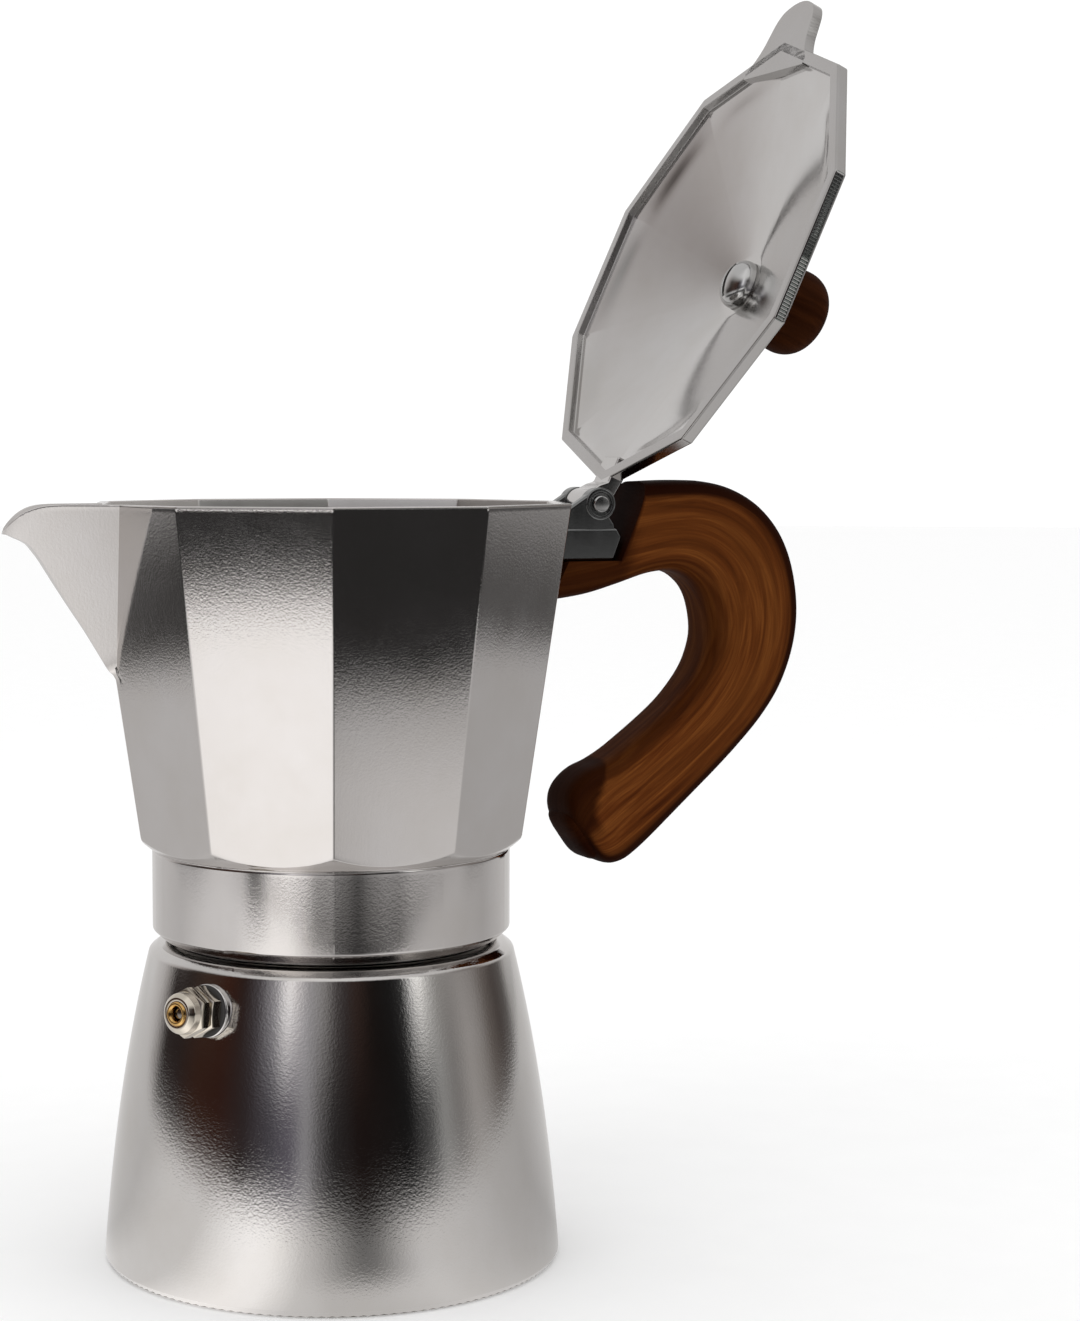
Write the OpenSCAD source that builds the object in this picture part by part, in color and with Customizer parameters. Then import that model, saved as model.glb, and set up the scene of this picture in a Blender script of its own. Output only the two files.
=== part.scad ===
// Stovetop moka pot with a ten-sided upper chamber, standing on its flat base.
// +Z is up, the origin is on the table at the centre of the boiler's base,
// the spout points to -X and the handle and lid hinge are on the +X side.
// The lid is drawn standing open on its stop.

/* [Boiler] */
// Height of the boiler's shoulder above the table
shoulder_z = 70; // [66:0.5:71]
// Radius of the boiler at the table
base_r = 51.8; // [50:0.1:54]
// Thickness of the boiler's wall
boiler_wall = 2.4; // [1.8:0.1:3]
// Thickness of the boiler's bottom
boiler_floor = 3; // [2:0.1:4]
// Radius of the threaded neck
neck_r = 36.2; // [35.6:0.1:36.3]
// Height of the top of the neck
neck_top_z = 85; // [84:0.1:85]

/* [Safety valve] */
// Height at which the valve's axis crosses the boiler's wall
valve_z = 62.2; // [58:0.1:64]
// Direction of the valve seen from above, in degrees from +X
valve_psi = 213.4; // [200:0.1:225]
// Upward tilt of the valve's axis in degrees
valve_tilt = 6; // [0:0.5:10]
// Radius at which the valve's axis crosses the outer wall
valve_r = 43.1; // [42.5:0.1:43.5]

/* [Upper chamber] */
// Number of flat sides
sides = 10; // [10:1:10]
// Corner radius of the rim
rim_r = 55.4; // [54:0.1:56.5]
// Height of the rim
rim_z = 170.5; // [170:0.1:171]
// Corner radius at the foot of the flat sides
foot_r = 44.3; // [43.8:0.1:45]
// Height of the foot of the flat sides
foot_z = 96.3; // [95:0.1:97]
// Thickness of the chamber's wall
chamber_wall = 2.2; // [1.8:0.1:2.6]
// Radius of the round collar
collar_r = 40.4; // [40:0.1:41]
// Inner radius of the collar over the thread
collar_bore_r = 36.7; // [36.6:0.1:37]

/* [Spout] */
// Reach of the spout's tip from the pot's axis
spout_x = 74.4; // [72:0.1:76]
// Half width of the spout where it leaves the rim
spout_half_w = 8.8; // [8:0.1:10]

/* [Lid] */
// Corner radius of the lid
lid_r = 57; // [56.5:0.1:58]
// Gap between the closed lid and the rim
lid_gap = 0.3; // [0.2:0.1:0.5]
// Height of the lid's skirt
lid_skirt = 2.8; // [2.4:0.1:3.2]
// Rise of the lid's roof from the skirt to the knob
lid_rise = 14; // [10:0.5:15]
// Opening angle at which the lid is drawn, in degrees
lid_open = 114.5; // [0:0.5:115]

/* [Hinge] */
// Distance of the hinge pin from the pot's axis
hinge_x = 63; // [62.5:0.1:63.5]
// Height of the hinge pin
hinge_z = 169.8; // [169.5:0.1:170]
// Radius of the hinge pin
pin_r = 1.6; // [1.5:0.05:1.7]
// Half width of the hinge over its two ears
hinge_half_w = 8; // [7.5:0.1:8.5]

/* [Knob and handle] */
// Largest radius of the knob
knob_r = 10.4; // [9.5:0.1:12]
// Height of the knob above its washer
knob_h = 18; // [17:0.1:20]
// Thickness of the handle from side to side
handle_t = 19; // [17:0.5:21]

/* [Hidden] */

$fn = 96;
eps = 0.01;
alu = [0.78, 0.78, 0.79];
nickel = [0.74, 0.73, 0.70];
wood = [0.42, 0.21, 0.09];
lid_z = rim_z + lid_gap;
seat_z = 90.2;      // underside of the chamber where the filter plate bears
floor_z = 95.2;     // floor of the upper chamber
gasket_z = 86;      // top of the funnel's flange

// corner radius of the flat-sided chamber at height z
function rc(z) = foot_r + (rim_r - foot_r) * (z - foot_z) / (rim_z - foot_z);
// radius of the boiler's outer wall at height z
function rb(z) = base_r - 0.075*z - 0.0008*z*z - 0.000004*z*z*z;
// smooth interpolation through p1 and p2, with neighbours p0 and p3
function cr(p0, p1, p2, p3, t) =
    0.5 * (2*p1 + (p2 - p0)*t + (2*p0 - 5*p1 + 4*p2 - p3)*t*t
           + (3*p1 - p0 - 3*p2 + p3)*t*t*t);
function at(p, i) = p[max(0, min(len(p) - 1, i))];

// straight-sided ten-cornered solid between two heights
module deca(r0, z0, r1, z1) {
    a = 360 / sides;
    polyhedron(
        points = concat(
            [for (i = [0:sides-1]) [r0*cos(a*i), r0*sin(a*i), z0]],
            [for (i = [0:sides-1]) [r1*cos(a*i), r1*sin(a*i), z1]]),
        faces = concat(
            [[for (i = [0:sides-1]) i]],
            [[for (i = [0:sides-1]) 2*sides - 1 - i]],
            [for (i = [0:sides-1]) let (j = (i + 1) % sides)
                [i, sides + i, sides + j, j]]));
}

// closes or opens everything that belongs to the lid
module lid_pose() {
    translate([hinge_x, 0, hinge_z]) rotate([0, lid_open, 0])
        translate([-hinge_x, 0, -hinge_z]) children();
}

// local frame of the valve: +Z runs outwards along its axis
module valve_frame() {
    rotate([0, 0, valve_psi]) translate([valve_r, 0, valve_z])
        rotate([0, 90 - valve_tilt, 0]) children();
}

// outline in X and Z, given its thickness along Y
module slab(pts, t) {
    rotate([90, 0, 0]) translate([0, 0, -t/2]) linear_extrude(t) polygon(pts);
}

module ring(r1, r0, z0, z1) {
    translate([0, 0, z0]) difference() {
        cylinder(r = r1, h = z1 - z0);
        translate([0, 0, -1]) cylinder(r = r0, h = z1 - z0 + 2);
    }
}

module hexring(af, r0, z0, z1) {
    translate([0, 0, z0]) difference() {
        cylinder(r = af/sqrt(3), h = z1 - z0, $fn = 6);
        translate([0, 0, -1]) cylinder(r = r0, h = z1 - z0 + 2);
    }
}

module boiler() {
    color(alu) difference() {
        union() {
            rotate_extrude() polygon(concat(
                [[0, 0], [base_r - 1.2, 0]],
                [for (z = [1, 5, 10, 16, 22, 28, 34, 40, 46, 52, 58, 64, shoulder_z])
                    [rb(z), z]],
                [for (a = [15:15:90]) [rb(shoulder_z) - 1.8 + 1.8*cos(a),
                                       shoulder_z + 1.8*sin(a)]],
                [[neck_r + 1, shoulder_z + 2.1], [neck_r - 0.4, shoulder_z + 2.1],
                 [neck_r - 0.4, shoulder_z + 4.2], [neck_r, shoulder_z + 4.6],
                 [neck_r, neck_top_z - 0.6], [neck_r - 0.6, neck_top_z],
                 [0, neck_top_z]]));
            // flat boss under the valve
            valve_frame() translate([0, 0, -1.6]) cylinder(r = 5.8, h = 2.3);
        }
        // water space
        rotate_extrude() polygon(concat(
            [[0, boiler_floor]],
            [[rb(6) - boiler_wall - 3, boiler_floor]],
            [for (z = [6, 16, 28, 40, 52, 60])
                [rb(z) - boiler_wall, z]],
            [[rb(68.4) - boiler_wall, 68.4], [34, 69.8], [32, 71.8],
             [32, neck_top_z + 5], [0, neck_top_z + 5]]));
        valve_frame() translate([0, 0, -10]) cylinder(r = 4.05, h = 15);
    }
}

module valve_gasket() {
    color([0.55, 0.12, 0.08]) valve_frame() ring(5.6, 4.1, 0.7, 1.5);
}

module valve_body() {
    color(nickel) valve_frame() difference() {
        union() {
            translate([0, 0, -7]) cylinder(r = 4, h = 9);
            translate([0, 0, 1.5]) cylinder(r = 9.6/sqrt(3), h = 3, $fn = 6);
        }
        translate([0, 0, -5.8]) cylinder(r = 2.7, h = 12);
        translate([0, 0, -8]) cylinder(r = 1.2, h = 4);
    }
}

module valve_nut() {
    color(nickel) valve_frame() rotate([0, 0, 30]) hexring(9.6, 4.02, -6.6, -4.2);
}

module valve_cap() {
    color(nickel) valve_frame() difference() {
        union() {
            translate([0, 0, 4.5]) cylinder(r = 4.5, h = 0.5);
            translate([0, 0, 4.9]) intersection() {
                cylinder(r = 9.4/sqrt(3), h = 2.9, $fn = 6);
                cylinder(r1 = 6.6, r2 = 4.75, h = 2.9);
            }
            translate([0, 0, 7.8]) cylinder(r1 = 4.65, r2 = 4.4, h = 1.6);
            translate([0, 0, 9.4]) cylinder(r1 = 4.4, r2 = 3.4, h = 0.9);
        }
        translate([0, 0, 4]) cylinder(r = 2.6, h = 8);
    }
}

module valve_bush() {
    color([0.78, 0.58, 0.25]) valve_frame() rotate_extrude() polygon([
        [1.5, 7.4], [2.6, 7.4], [2.6, 10.4], [2.3, 10.8], [1.9, 10.8], [1.5, 10.4]]);
}

// round-wire coil, swept ring by ring
module valve_spring() {
    turns = 7; per = 12; r = 1.9; w = 0.3; z0 = -4.3; z1 = 6.1;
    n = turns*per;
    ring_pts = [for (i = [0:n]) for (k = [0:7])
        let (a = 360*i/per, b = 45*k, rr = r + w*cos(b))
        [rr*cos(a), rr*sin(a), z0 + (z1 - z0)*i/n + w*sin(b)]];
    color([0.6, 0.6, 0.62]) valve_frame() polyhedron(points = ring_pts,
        faces = concat([[for (k = [0:7]) k]],
            [[for (k = [7:-1:0]) n*8 + k]],
            [for (i = [0:n-1]) for (k = [0:7]) let (m = (k + 1) % 8)
                [i*8 + k, (i + 1)*8 + k, (i + 1)*8 + m, i*8 + m]]));
}

module valve_plunger() {
    color([0.35, 0.34, 0.33]) valve_frame() rotate_extrude() polygon([
        [0, -5.75], [2.4, -5.75], [2.4, -4.7], [1.25, -4.6],
        [1.25, 9.2], [1.05, 9.5], [0, 9.6]]);
}

module funnel() {
    color([0.8, 0.8, 0.8]) rotate_extrude() polygon([
        [3.7, 8], [4.5, 8], [4.5, 50], [8, 53.2], [29.4, 57.6], [30.8, 59],
        [30.8, 85], [35.4, 85], [35.8, 85.4], [35.6, 86], [30, 86],
        [30, 59.4], [29.2, 58.5], [7.6, 54], [3.7, 50.4]]);
}

module funnel_sieve() {
    color([0.75, 0.75, 0.74]) difference() {
        translate([0, 0, 59.4]) cylinder(r = 29.9, h = 0.9);
        for (k = [1:3]) for (i = [0:6*k-1]) rotate([0, 0, i*60/k])
            translate([k*7.5, 0, 58]) cylinder(r = 1, h = 4, $fn = 24);
    }
}

module gasket() {
    color([0.86, 0.84, 0.80]) rotate_extrude() polygon([
        [28.5, 86.3], [28.8, gasket_z], [35.8, gasket_z], [36.1, 86.3],
        [36.1, 89.2], [35.8, 89.5], [28.8, 89.5], [28.5, 89.2]]);
}

module filter_plate() {
    color([0.8, 0.8, 0.8]) difference() {
        rotate_extrude() polygon([
            [0, 88.2], [26.6, 88.2], [28, 88.6], [28, 89.5], [34.5, 89.5],
            [34.5, seat_z], [27.4, seat_z], [27.4, 89], [26.4, 88.9], [0, 88.9]]);
        for (k = [1:3]) for (i = [0:6*k-1]) rotate([0, 0, i*60/k])
            translate([k*7, 0, 86]) cylinder(r = 0.9, h = 4, $fn = 24);
    }
}

// wedge of the spout between its two side planes
module spout_wedge(inset, zt) {
    s = spout_half_w - inset; bx = -49.5 + inset*1.2; f = (zt - 131.3)/39.2;
    ax = -49.5 - 3*f; aw = s*f; tx = -49.5 - 32.4*f + inset*3;
    polyhedron(points = [
        [bx, 0, 131.3 + inset*1.4], [ax, -aw, zt], [ax, aw, zt], [tx, 0, zt],
        [-40, 0, 131.3 + inset*1.4], [-40, -aw, zt], [-40, aw, zt]],
        faces = [[0, 3, 1], [0, 2, 3], [0, 1, 5, 4], [0, 4, 6, 2],
                 [1, 3, 2, 6, 5], [4, 5, 6]]);
}

module upper_chamber() {
    bore_top = 85.6;
    color(alu) difference() {
        union() {
            // flat sides, rounded into the collar by a cone
            intersection() {
                deca(rc(86), 86, rim_r, rim_z);
                rotate_extrude() polygon([
                    [0, 86], [collar_r - 0.6, 86], [collar_r - 0.2, 89.4],
                    [foot_r + 0.1, foot_z + 0.4], [70, foot_z + 0.4 + 60],
                    [70, 180], [0, 180]]);
            }
            rotate_extrude() polygon([
                [0, 72.9], [37.8, 72.9], [collar_r, 75.2], [collar_r, 89.2],
                [collar_r - 0.4, 89.6], [0, 89.6]]);
            // spout
            intersection() {
                spout_wedge(0, 176);
                slab([[-40, 131], [-49.4, 131], [-51.5, 134.4], [-56.2, 142.4],
                      [-59.7, 147.8], [-63, 153], [-66.2, 158.2], [-67.6, 160.1],
                      [-69, 161.8], [-70.5, 162.7], [-72.4, 163.5], [-spout_x, 164.5],
                      [-73.8, 165.7], [-72.3, 167.3], [-70.2, 168.9], [-67.4, 170.1],
                      [-64, rim_z], [-40, rim_z]], 40);
            }
            // cast lug and ears of the hinge
            slab([[50, 156.8], [66.6, 156.8], [68.6, 162.2], [67.2, 164.4],
                  [56, 164.4], [50, 164.4]], 2*hinge_half_w);
            for (s = [-1, 1]) translate([0, s*(hinge_half_w - 1.7), 0]) {
                slab([[50, 160], [68, 160], [66.7, 168], [hinge_x, hinge_z],
                      [60.6, 172.6], [54, 168.5], [50, 168.5]], 3.4);
                translate([hinge_x, 1.7, hinge_z]) rotate([90, 0, 0])
                    cylinder(r = 3.8, h = 3.4);
            }
        }
        // coffee space
        intersection() {
            deca(rc(95) - chamber_wall*1.05, 95, rim_r - chamber_wall*1.05 + 0.149, rim_z + 1);
            rotate_extrude() polygon([
                [0, floor_z], [37, floor_z], [39.4, 96.4], [44, 101],
                [80, 140], [80, 200], [0, 200]]);
        }
        // spout channel
        intersection() {
            spout_wedge(1.9, 178);
            slab([[-40, 136], [-49.4, 137], [-54.4, 143.6], [-58, 149.4],
                  [-61.4, 154.8], [-64.6, 159.8], [-66.8, 162.3], [-69, 163.8],
                  [-71.5, 164.9], [-78, 167], [-78, 180], [-40, 180]], 40);
        }
        // thread bore, gasket seat, relief above the plate, chimney hole
        translate([0, 0, 70]) cylinder(r = collar_bore_r, h = bore_top - 70);
        translate([0, 0, bore_top - 1]) cylinder(r = 36.4, h = seat_z - bore_top + 1);
        translate([0, 0, seat_z - 1]) cylinder(r1 = 27, r2 = 20, h = 3.2);
        translate([0, 0, 88]) cylinder(r = 5.5, h = 10);
        // room for the lid's knuckle, the pin and the handle's screw
        translate([hinge_x, 4.6, hinge_z]) rotate([90, 0, 0]) cylinder(r = 5.7, h = 9.2);
        translate([hinge_x, 20, hinge_z]) rotate([90, 0, 0]) cylinder(r = pin_r + 0.01, h = 40);
        translate([60, 0, 150]) cylinder(r = 2, h = 12.5);
    }
}

module chimney() {
    color(alu) difference() {
        union() {
            translate([0, 0, 92.8]) cylinder(r = 5.48, h = 3);
            translate([0, 0, floor_z]) cylinder(r = 7.4, h = 1.4);
            translate([0, 0, 96.4]) cylinder(r1 = 6.6, r2 = 5.6, h = 50);
            translate([0, 0, 146.4]) cylinder(r1 = 5.6, r2 = 3.6, h = 2.6);
        }
        translate([0, 0, 90]) cylinder(r = 3.9, h = 55);
        for (a = [90, 270]) rotate([0, 0, a]) translate([5, 0, 142])
            rotate([0, 90, 0]) cylinder(r = 1.9, h = 10, center = true);
    }
}

module hinge_pin() {
    color(nickel) translate([hinge_x, 8.5, hinge_z]) rotate([90, 0, 0]) {
        cylinder(r = pin_r, h = 17);
        translate([0, 0, 16.6]) cylinder(r1 = 2.1, r2 = 1.7, h = 0.6);
    }
}

// stations of the handle: inner edge and outer edge in X and Z
h_in = [[50, 147.4], [60, 148.8], [68, 151], [75, 153.2], [80.5, 154], [84.6, 153.2],
        [88, 150.8], [90.2, 147.6], [91.4, 143.5], [91.8, 139], [91, 135],
        [89.2, 130.8], [86.2, 126.6], [82.5, 122.6], [78, 118.8], [73, 115],
        [68.5, 111.8], [64.5, 109.6], [61, 108.2], [58.3, 106.3], [56.3, 103.8],
        [55.6, 101], [55.9, 98], [57, 95]];
h_out = [[62, 173], [70, 174.6], [77, 175], [84, 175.2], [91, 174.9], [98, 173.2],
         [104.5, 169.6], [109.5, 164.5], [113, 158], [115, 150], [115.4, 142],
         [114, 134], [110.8, 126], [106, 119], [100.3, 112.8], [94.5, 107.2],
         [88.5, 101.8], [82.5, 96.4], [77.5, 91.9], [73.5, 88.6], [70, 86.4],
         [66.5, 85.8], [63.5, 87], [60.5, 90]];
h_n = 2*(len(h_in) - 1);
function h_at(p, k) = let (i = floor(k/2), t = (k % 2)/2)
    cr(at(p, i-1), at(p, i), at(p, i+1), at(p, i+2), t);
function sgp(v, e) = (v < 0 ? -1 : 1) * pow(abs(v), e);

module handle() {
    m = 16;
    pts = [for (k = [0:h_n]) let (a = h_at(h_in, k), b = h_at(h_out, k))
        for (j = [0:m-1]) let (u = 360*(j + 0.5)/m, s = sgp(cos(u), 0.55),
                               y = handle_t/2 * sgp(sin(u), 0.55))
        [(a[0]+b[0])/2 + s*(b[0]-a[0])/2 * 1.01, y, (a[1]+b[1])/2 + s*(b[1]-a[1])/2 * 1.01]];
    color(wood) difference() {
        polyhedron(points = pts, faces = concat(
            [[for (j = [0:m-1]) j]],
            [[for (j = [m-1:-1:0]) h_n*m + j]],
            [for (k = [0:h_n-1]) for (j = [0:m-1]) let (q = (j + 1) % m)
                [k*m + j, (k + 1)*m + j, (k + 1)*m + q, k*m + q]]));
        // notch around the hinge
        slab([[30, 156.7], [67.6, 156.7], [74.7, 174.4], [76, 190], [30, 190]], 40);
        // the pot's wall
        deca(rc(130) + 0.1, 130, rc(180) + 0.1, 180);
        translate([60, 0, 140]) cylinder(r = 3.2, h = 30);
        translate([60, 0, 140]) cylinder(r = 4.2, h = 11.4);
    }
}

module handle_insert() {
    color([0.7, 0.55, 0.3]) translate([60, 0, 0]) ring(3.19, 2.1, 151.4, 156.7);
}

module handle_screw() {
    color(nickel) translate([60, 0, 0]) difference() {
        union() {
            translate([0, 0, 149.4]) cylinder(r = 3.8, h = 2);
            translate([0, 0, 151]) cylinder(r = 1.98, h = 11);
        }
        translate([-5, -0.5, 148.4]) cube([10, 1, 1.8]);
    }
}

module lid() {
    top_z = lid_z + lid_skirt;
    color(alu) lid_pose() difference() {
        union() {
            deca(lid_r, lid_z, lid_r, top_z);
            deca(lid_r, top_z, 7.5, top_z + lid_rise);
            // lip over the spout
            translate([0, 0, lid_z]) linear_extrude(2.6) polygon([
                [-50, -15], [-53.4, -12.4], [-56.6, -10.8], [-60, -9.9], [-63, -9],
                [-65.4, -7.2], [-66.8, -4], [-67.4, 0], [-66.8, 4], [-65.4, 7.2],
                [-63, 9], [-60, 9.9], [-56.6, 10.8], [-53.4, 12.4], [-50, 15]]);
            // tongue and knuckle of the hinge
            slab([[50, lid_z], [57, lid_z], [60.2, 167.6], [66.2, 171.6],
                  [65.6, 172.8], [61, 173.6], [50, 174.6]], 8.6);
            translate([hinge_x, 4.3, hinge_z]) rotate([90, 0, 0]) cylinder(r = 3.6, h = 8.6);
            // heel that meets the lug when the lid stands open
            slab([[62, 172.6], [66.8, 173.2], [68.2, 170.9], [66, 168]], 8.6);
        }
        // stepped recess with a smooth cone above it
        deca(lid_r - 3.1, lid_z - 1, lid_r - 3.1, lid_z + 1.9);
        translate([0, 0, lid_z + 1.8]) cylinder(r1 = 50.6, r2 = 7, h = 12.4);
        translate([0, 0, 180]) cylinder(r = 2.2, h = 20);
        translate([hinge_x, 20, hinge_z]) rotate([90, 0, 0]) cylinder(r = pin_r + 0.06, h = 40);
        // clearance over the pot's corner and lug
        slab([[52.5, 160], [52.5, lid_z], [57.6, lid_z], [58.6, 168.2], [60.2, 160]], 20);
    }
}

washer_z = rim_z + lid_gap + lid_skirt + lid_rise;
under_z = rim_z + lid_gap + 1.8 + 12.4;   // underside of the lid at its centre

module knob_washer() {
    color(nickel) lid_pose() ring(6.8, 2.2, washer_z, washer_z + 1);
}

module knob() {
    z0 = washer_z + 1;
    color([0.2, 0.09, 0.05]) lid_pose() difference() {
        rotate_extrude() polygon(concat(
            [[0, z0], [6.4, z0], [7, z0 + 1.6]],
            [for (a = [-45:9:90]) [knob_r * pow(max(cos(a), 0), 0.72),
                z0 + 10.4 + (a < 0 ? 10.2 : knob_h - 10.4) * sin(a)]]));
        translate([0, 0, z0 - 1]) cylinder(r = 3.2, h = 12);
    }
}

module knob_insert() {
    color([0.78, 0.58, 0.25]) lid_pose() ring(3.19, 2.02, washer_z + 1, washer_z + 11);
}

module knob_screw() {
    color(nickel) lid_pose() difference() {
        union() {
            translate([0, 0, under_z - 0.2]) rotate_extrude() polygon(concat(
                [[0, 0.2], [6, 0.2]],
                [for (a = [0:10:90]) [6*cos(a), -0.6 - 4*sin(a)]]));
            translate([0, 0, under_z - 1]) cylinder(r = 2, h = 13);
        }
        translate([-7, -0.55, under_z - 5.8]) cube([14, 1.1, 2.2]);
    }
}

boiler();
valve_body();
valve_gasket();
valve_nut();
valve_cap();
valve_bush();
valve_spring();
valve_plunger();
funnel();
funnel_sieve();
gasket();
filter_plate();
upper_chamber();
chimney();
hinge_pin();
handle();
handle_insert();
handle_screw();
lid();
knob();
knob_insert();
knob_screw();
knob_washer();
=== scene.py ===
import math
import bpy
import bmesh
import numpy as np
from mathutils import Vector, Matrix


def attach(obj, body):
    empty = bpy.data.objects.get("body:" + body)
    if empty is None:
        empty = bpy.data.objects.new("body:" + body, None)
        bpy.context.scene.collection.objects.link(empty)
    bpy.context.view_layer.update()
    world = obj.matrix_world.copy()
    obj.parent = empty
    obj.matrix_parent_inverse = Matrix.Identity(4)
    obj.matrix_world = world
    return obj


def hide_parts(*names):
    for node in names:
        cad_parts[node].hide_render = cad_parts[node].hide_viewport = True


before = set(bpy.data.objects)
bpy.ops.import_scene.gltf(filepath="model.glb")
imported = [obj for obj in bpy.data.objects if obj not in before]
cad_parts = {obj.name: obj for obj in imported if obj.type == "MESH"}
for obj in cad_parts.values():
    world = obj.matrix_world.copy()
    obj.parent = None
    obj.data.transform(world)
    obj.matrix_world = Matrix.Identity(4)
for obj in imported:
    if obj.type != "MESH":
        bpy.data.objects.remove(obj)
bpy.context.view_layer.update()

MM = 0.001
TAU = 2 * math.pi
RAD = math.pi / 180


# ---------------------------------------------------------------- mesh tools
def new_obj(name, verts, faces, mat=None, weld=1e-7):
    me = bpy.data.meshes.new(name)
    me.from_pydata([tuple(v) for v in verts], [], [tuple(f) for f in faces])
    bm = bmesh.new()
    bm.from_mesh(me)
    if weld:
        bmesh.ops.remove_doubles(bm, verts=bm.verts, dist=weld)
    bmesh.ops.recalc_face_normals(bm, faces=bm.faces)
    for f in bm.faces:
        f.smooth = True
    bm.to_mesh(me)
    bm.free()
    o = bpy.data.objects.new(name, me)
    bpy.context.scene.collection.objects.link(o)
    if mat:
        me.materials.append(mat)
    return o


def grid(name, P, mat=None, close_u=True, close_v=True):
    """P[u, v] in mm; u runs round the axis, v along the profile."""
    P = np.asarray(P, float)
    nu, nv = P.shape[:2]
    V = P.reshape(-1, 3) * MM
    F = []
    for i in range(nu if close_u else nu - 1):
        a, b = i * nv, ((i + 1) % nu) * nv
        for j in range(nv if close_v else nv - 1):
            k = (j + 1) % nv
            F.append((a + j, b + j, b + k, a + k))
    return new_obj(name, V, F, mat)


def weighted(o):
    m = o.modifiers.new("weighted", "WEIGHTED_NORMAL")
    m.keep_sharp = True
    m.weight = 60
    m.mode = "FACE_AREA"
    return o


def fillet(pts, rads, seg=4, closed=False):
    """Rounds each corner of a polyline, always with seg + 1 points a corner."""
    pts = [np.array(p, float) for p in pts]
    n = len(pts)
    out = []
    for i, p in enumerate(pts):
        if not closed and i in (0, n - 1):
            out.append(p)
            continue
        a, b = pts[i - 1], pts[(i + 1) % n]
        la, lb = np.linalg.norm(a - p), np.linalg.norm(b - p)
        u, v = (a - p) / max(la, 1e-9), (b - p) / max(lb, 1e-9)
        c = float(np.clip(u @ v, -1, 1))
        half = math.acos(c) / 2
        r = rads[i] if hasattr(rads, "__len__") else rads
        t = min(r / max(math.tan(half), 1e-3), 0.46 * la, 0.46 * lb)
        t = max(t, 1e-4)
        for k in range(seg + 1):
            w = k / seg
            out.append((1 - w) ** 2 * (p + u * t) + 2 * w * (1 - w) * p + w * w * (p + v * t))
    return np.array(out)


def lathe(name, prof, mat=None, n=192, closed=False):
    """prof is a list of (r, z) in mm, revolved about Z."""
    prof = np.array(prof, float)
    th = np.arange(n) * TAU / n
    P = np.zeros((n, len(prof), 3))
    P[:, :, 0] = np.cos(th)[:, None] * prof[None, :, 0]
    P[:, :, 1] = np.sin(th)[:, None] * prof[None, :, 0]
    P[:, :, 2] = prof[None, :, 1]
    return grid(name, P, mat, True, closed)


def prism(name, outline, y0, y1, mat=None, bevel=0.35, seg=3, plane="xz"):
    """An outline in X and Z (or X and Y) given a thickness, with rounded edges."""
    n = len(outline)
    V = []
    for y in (y0, y1):
        for a, b in outline:
            V.append((a, y, b) if plane == "xz" else (a, b, y))
    V = np.array(V) * MM
    F = [tuple(range(n)), tuple(range(2 * n - 1, n - 1, -1))]
    F += [(i, (i + 1) % n, n + (i + 1) % n, n + i) for i in range(n)]
    o = new_obj(name, V, F, mat)
    if bevel:
        bm = bmesh.new()
        bm.from_mesh(o.data)
        bmesh.ops.bevel(bm, geom=list(bm.edges), offset=bevel * MM, segments=seg,
                        profile=0.5, affect="EDGES", clamp_overlap=True)
        for f in bm.faces:
            f.smooth = True
        bm.to_mesh(o.data)
        bm.free()
    return o


def join(name, objs):
    bpy.ops.object.select_all(action="DESELECT")
    for o in objs:
        o.select_set(True)
    bpy.context.view_layer.objects.active = objs[0]
    bpy.ops.object.join()
    objs[0].name = name
    objs[0].data.name = name
    return objs[0]


def bake(o):
    """Applies the modifiers of o to its mesh."""
    dg = bpy.context.evaluated_depsgraph_get()
    me = bpy.data.meshes.new_from_object(o.evaluated_get(dg))
    o.modifiers.clear()
    o.data = me
    return o


def carve(o, cutters, op="DIFFERENCE"):
    for c in cutters:
        m = o.modifiers.new("cut", "BOOLEAN")
        m.operation = op
        m.solver = "EXACT"
        m.object = c
    bake(o)
    for c in cutters:
        bpy.data.objects.remove(c)
    for p in o.data.polygons:
        p.use_smooth = True
    return o


def transform(o, M):
    o.data.transform(M)
    o.data.update()
    return o


def catmull(pts, per):
    pts = np.array(pts, float)
    n = len(pts)
    out = []
    for i in range(n - 1):
        p0, p1, p2, p3 = pts[max(i - 1, 0)], pts[i], pts[i + 1], pts[min(i + 2, n - 1)]
        for k in range(per):
            t = k / per
            out.append(0.5 * (2 * p1 + (p2 - p0) * t + (2 * p0 - 5 * p1 + 4 * p2 - p3) * t * t
                              + (3 * p1 - p0 - 3 * p2 + p3) * t ** 3))
    out.append(pts[-1])
    return np.array(out)


def tube(name, path, r, mat=None, n=10, caps=True):
    """Round wire along a path, in mm."""
    path = np.array(path, float)
    T = np.gradient(path, axis=0)
    T /= np.linalg.norm(T, axis=1)[:, None]
    up = np.array([0, 0, 1.0])
    P = np.zeros((len(path), n, 3))
    for i, (p, t) in enumerate(zip(path, T)):
        a = np.cross(t, up)
        a /= np.linalg.norm(a)
        b = np.cross(t, a)
        for k in range(n):
            w = TAU * k / n
            P[i, k] = p + r * (math.cos(w) * a + math.sin(w) * b)
    V = P.reshape(-1, 3) * MM
    F = []
    for i in range(len(path) - 1):
        for k in range(n):
            q = (k + 1) % n
            F.append((i * n + k, (i + 1) * n + k, (i + 1) * n + q, i * n + q))
    if caps:
        F.append(tuple(range(n)))
        F.append(tuple(reversed([(len(path) - 1) * n + k for k in range(n)])))
    return new_obj(name, V, F, mat)


def place(o, body, slot, *nodes):
    if nodes:
        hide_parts(*nodes)
    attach(o, body)
    return o


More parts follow.
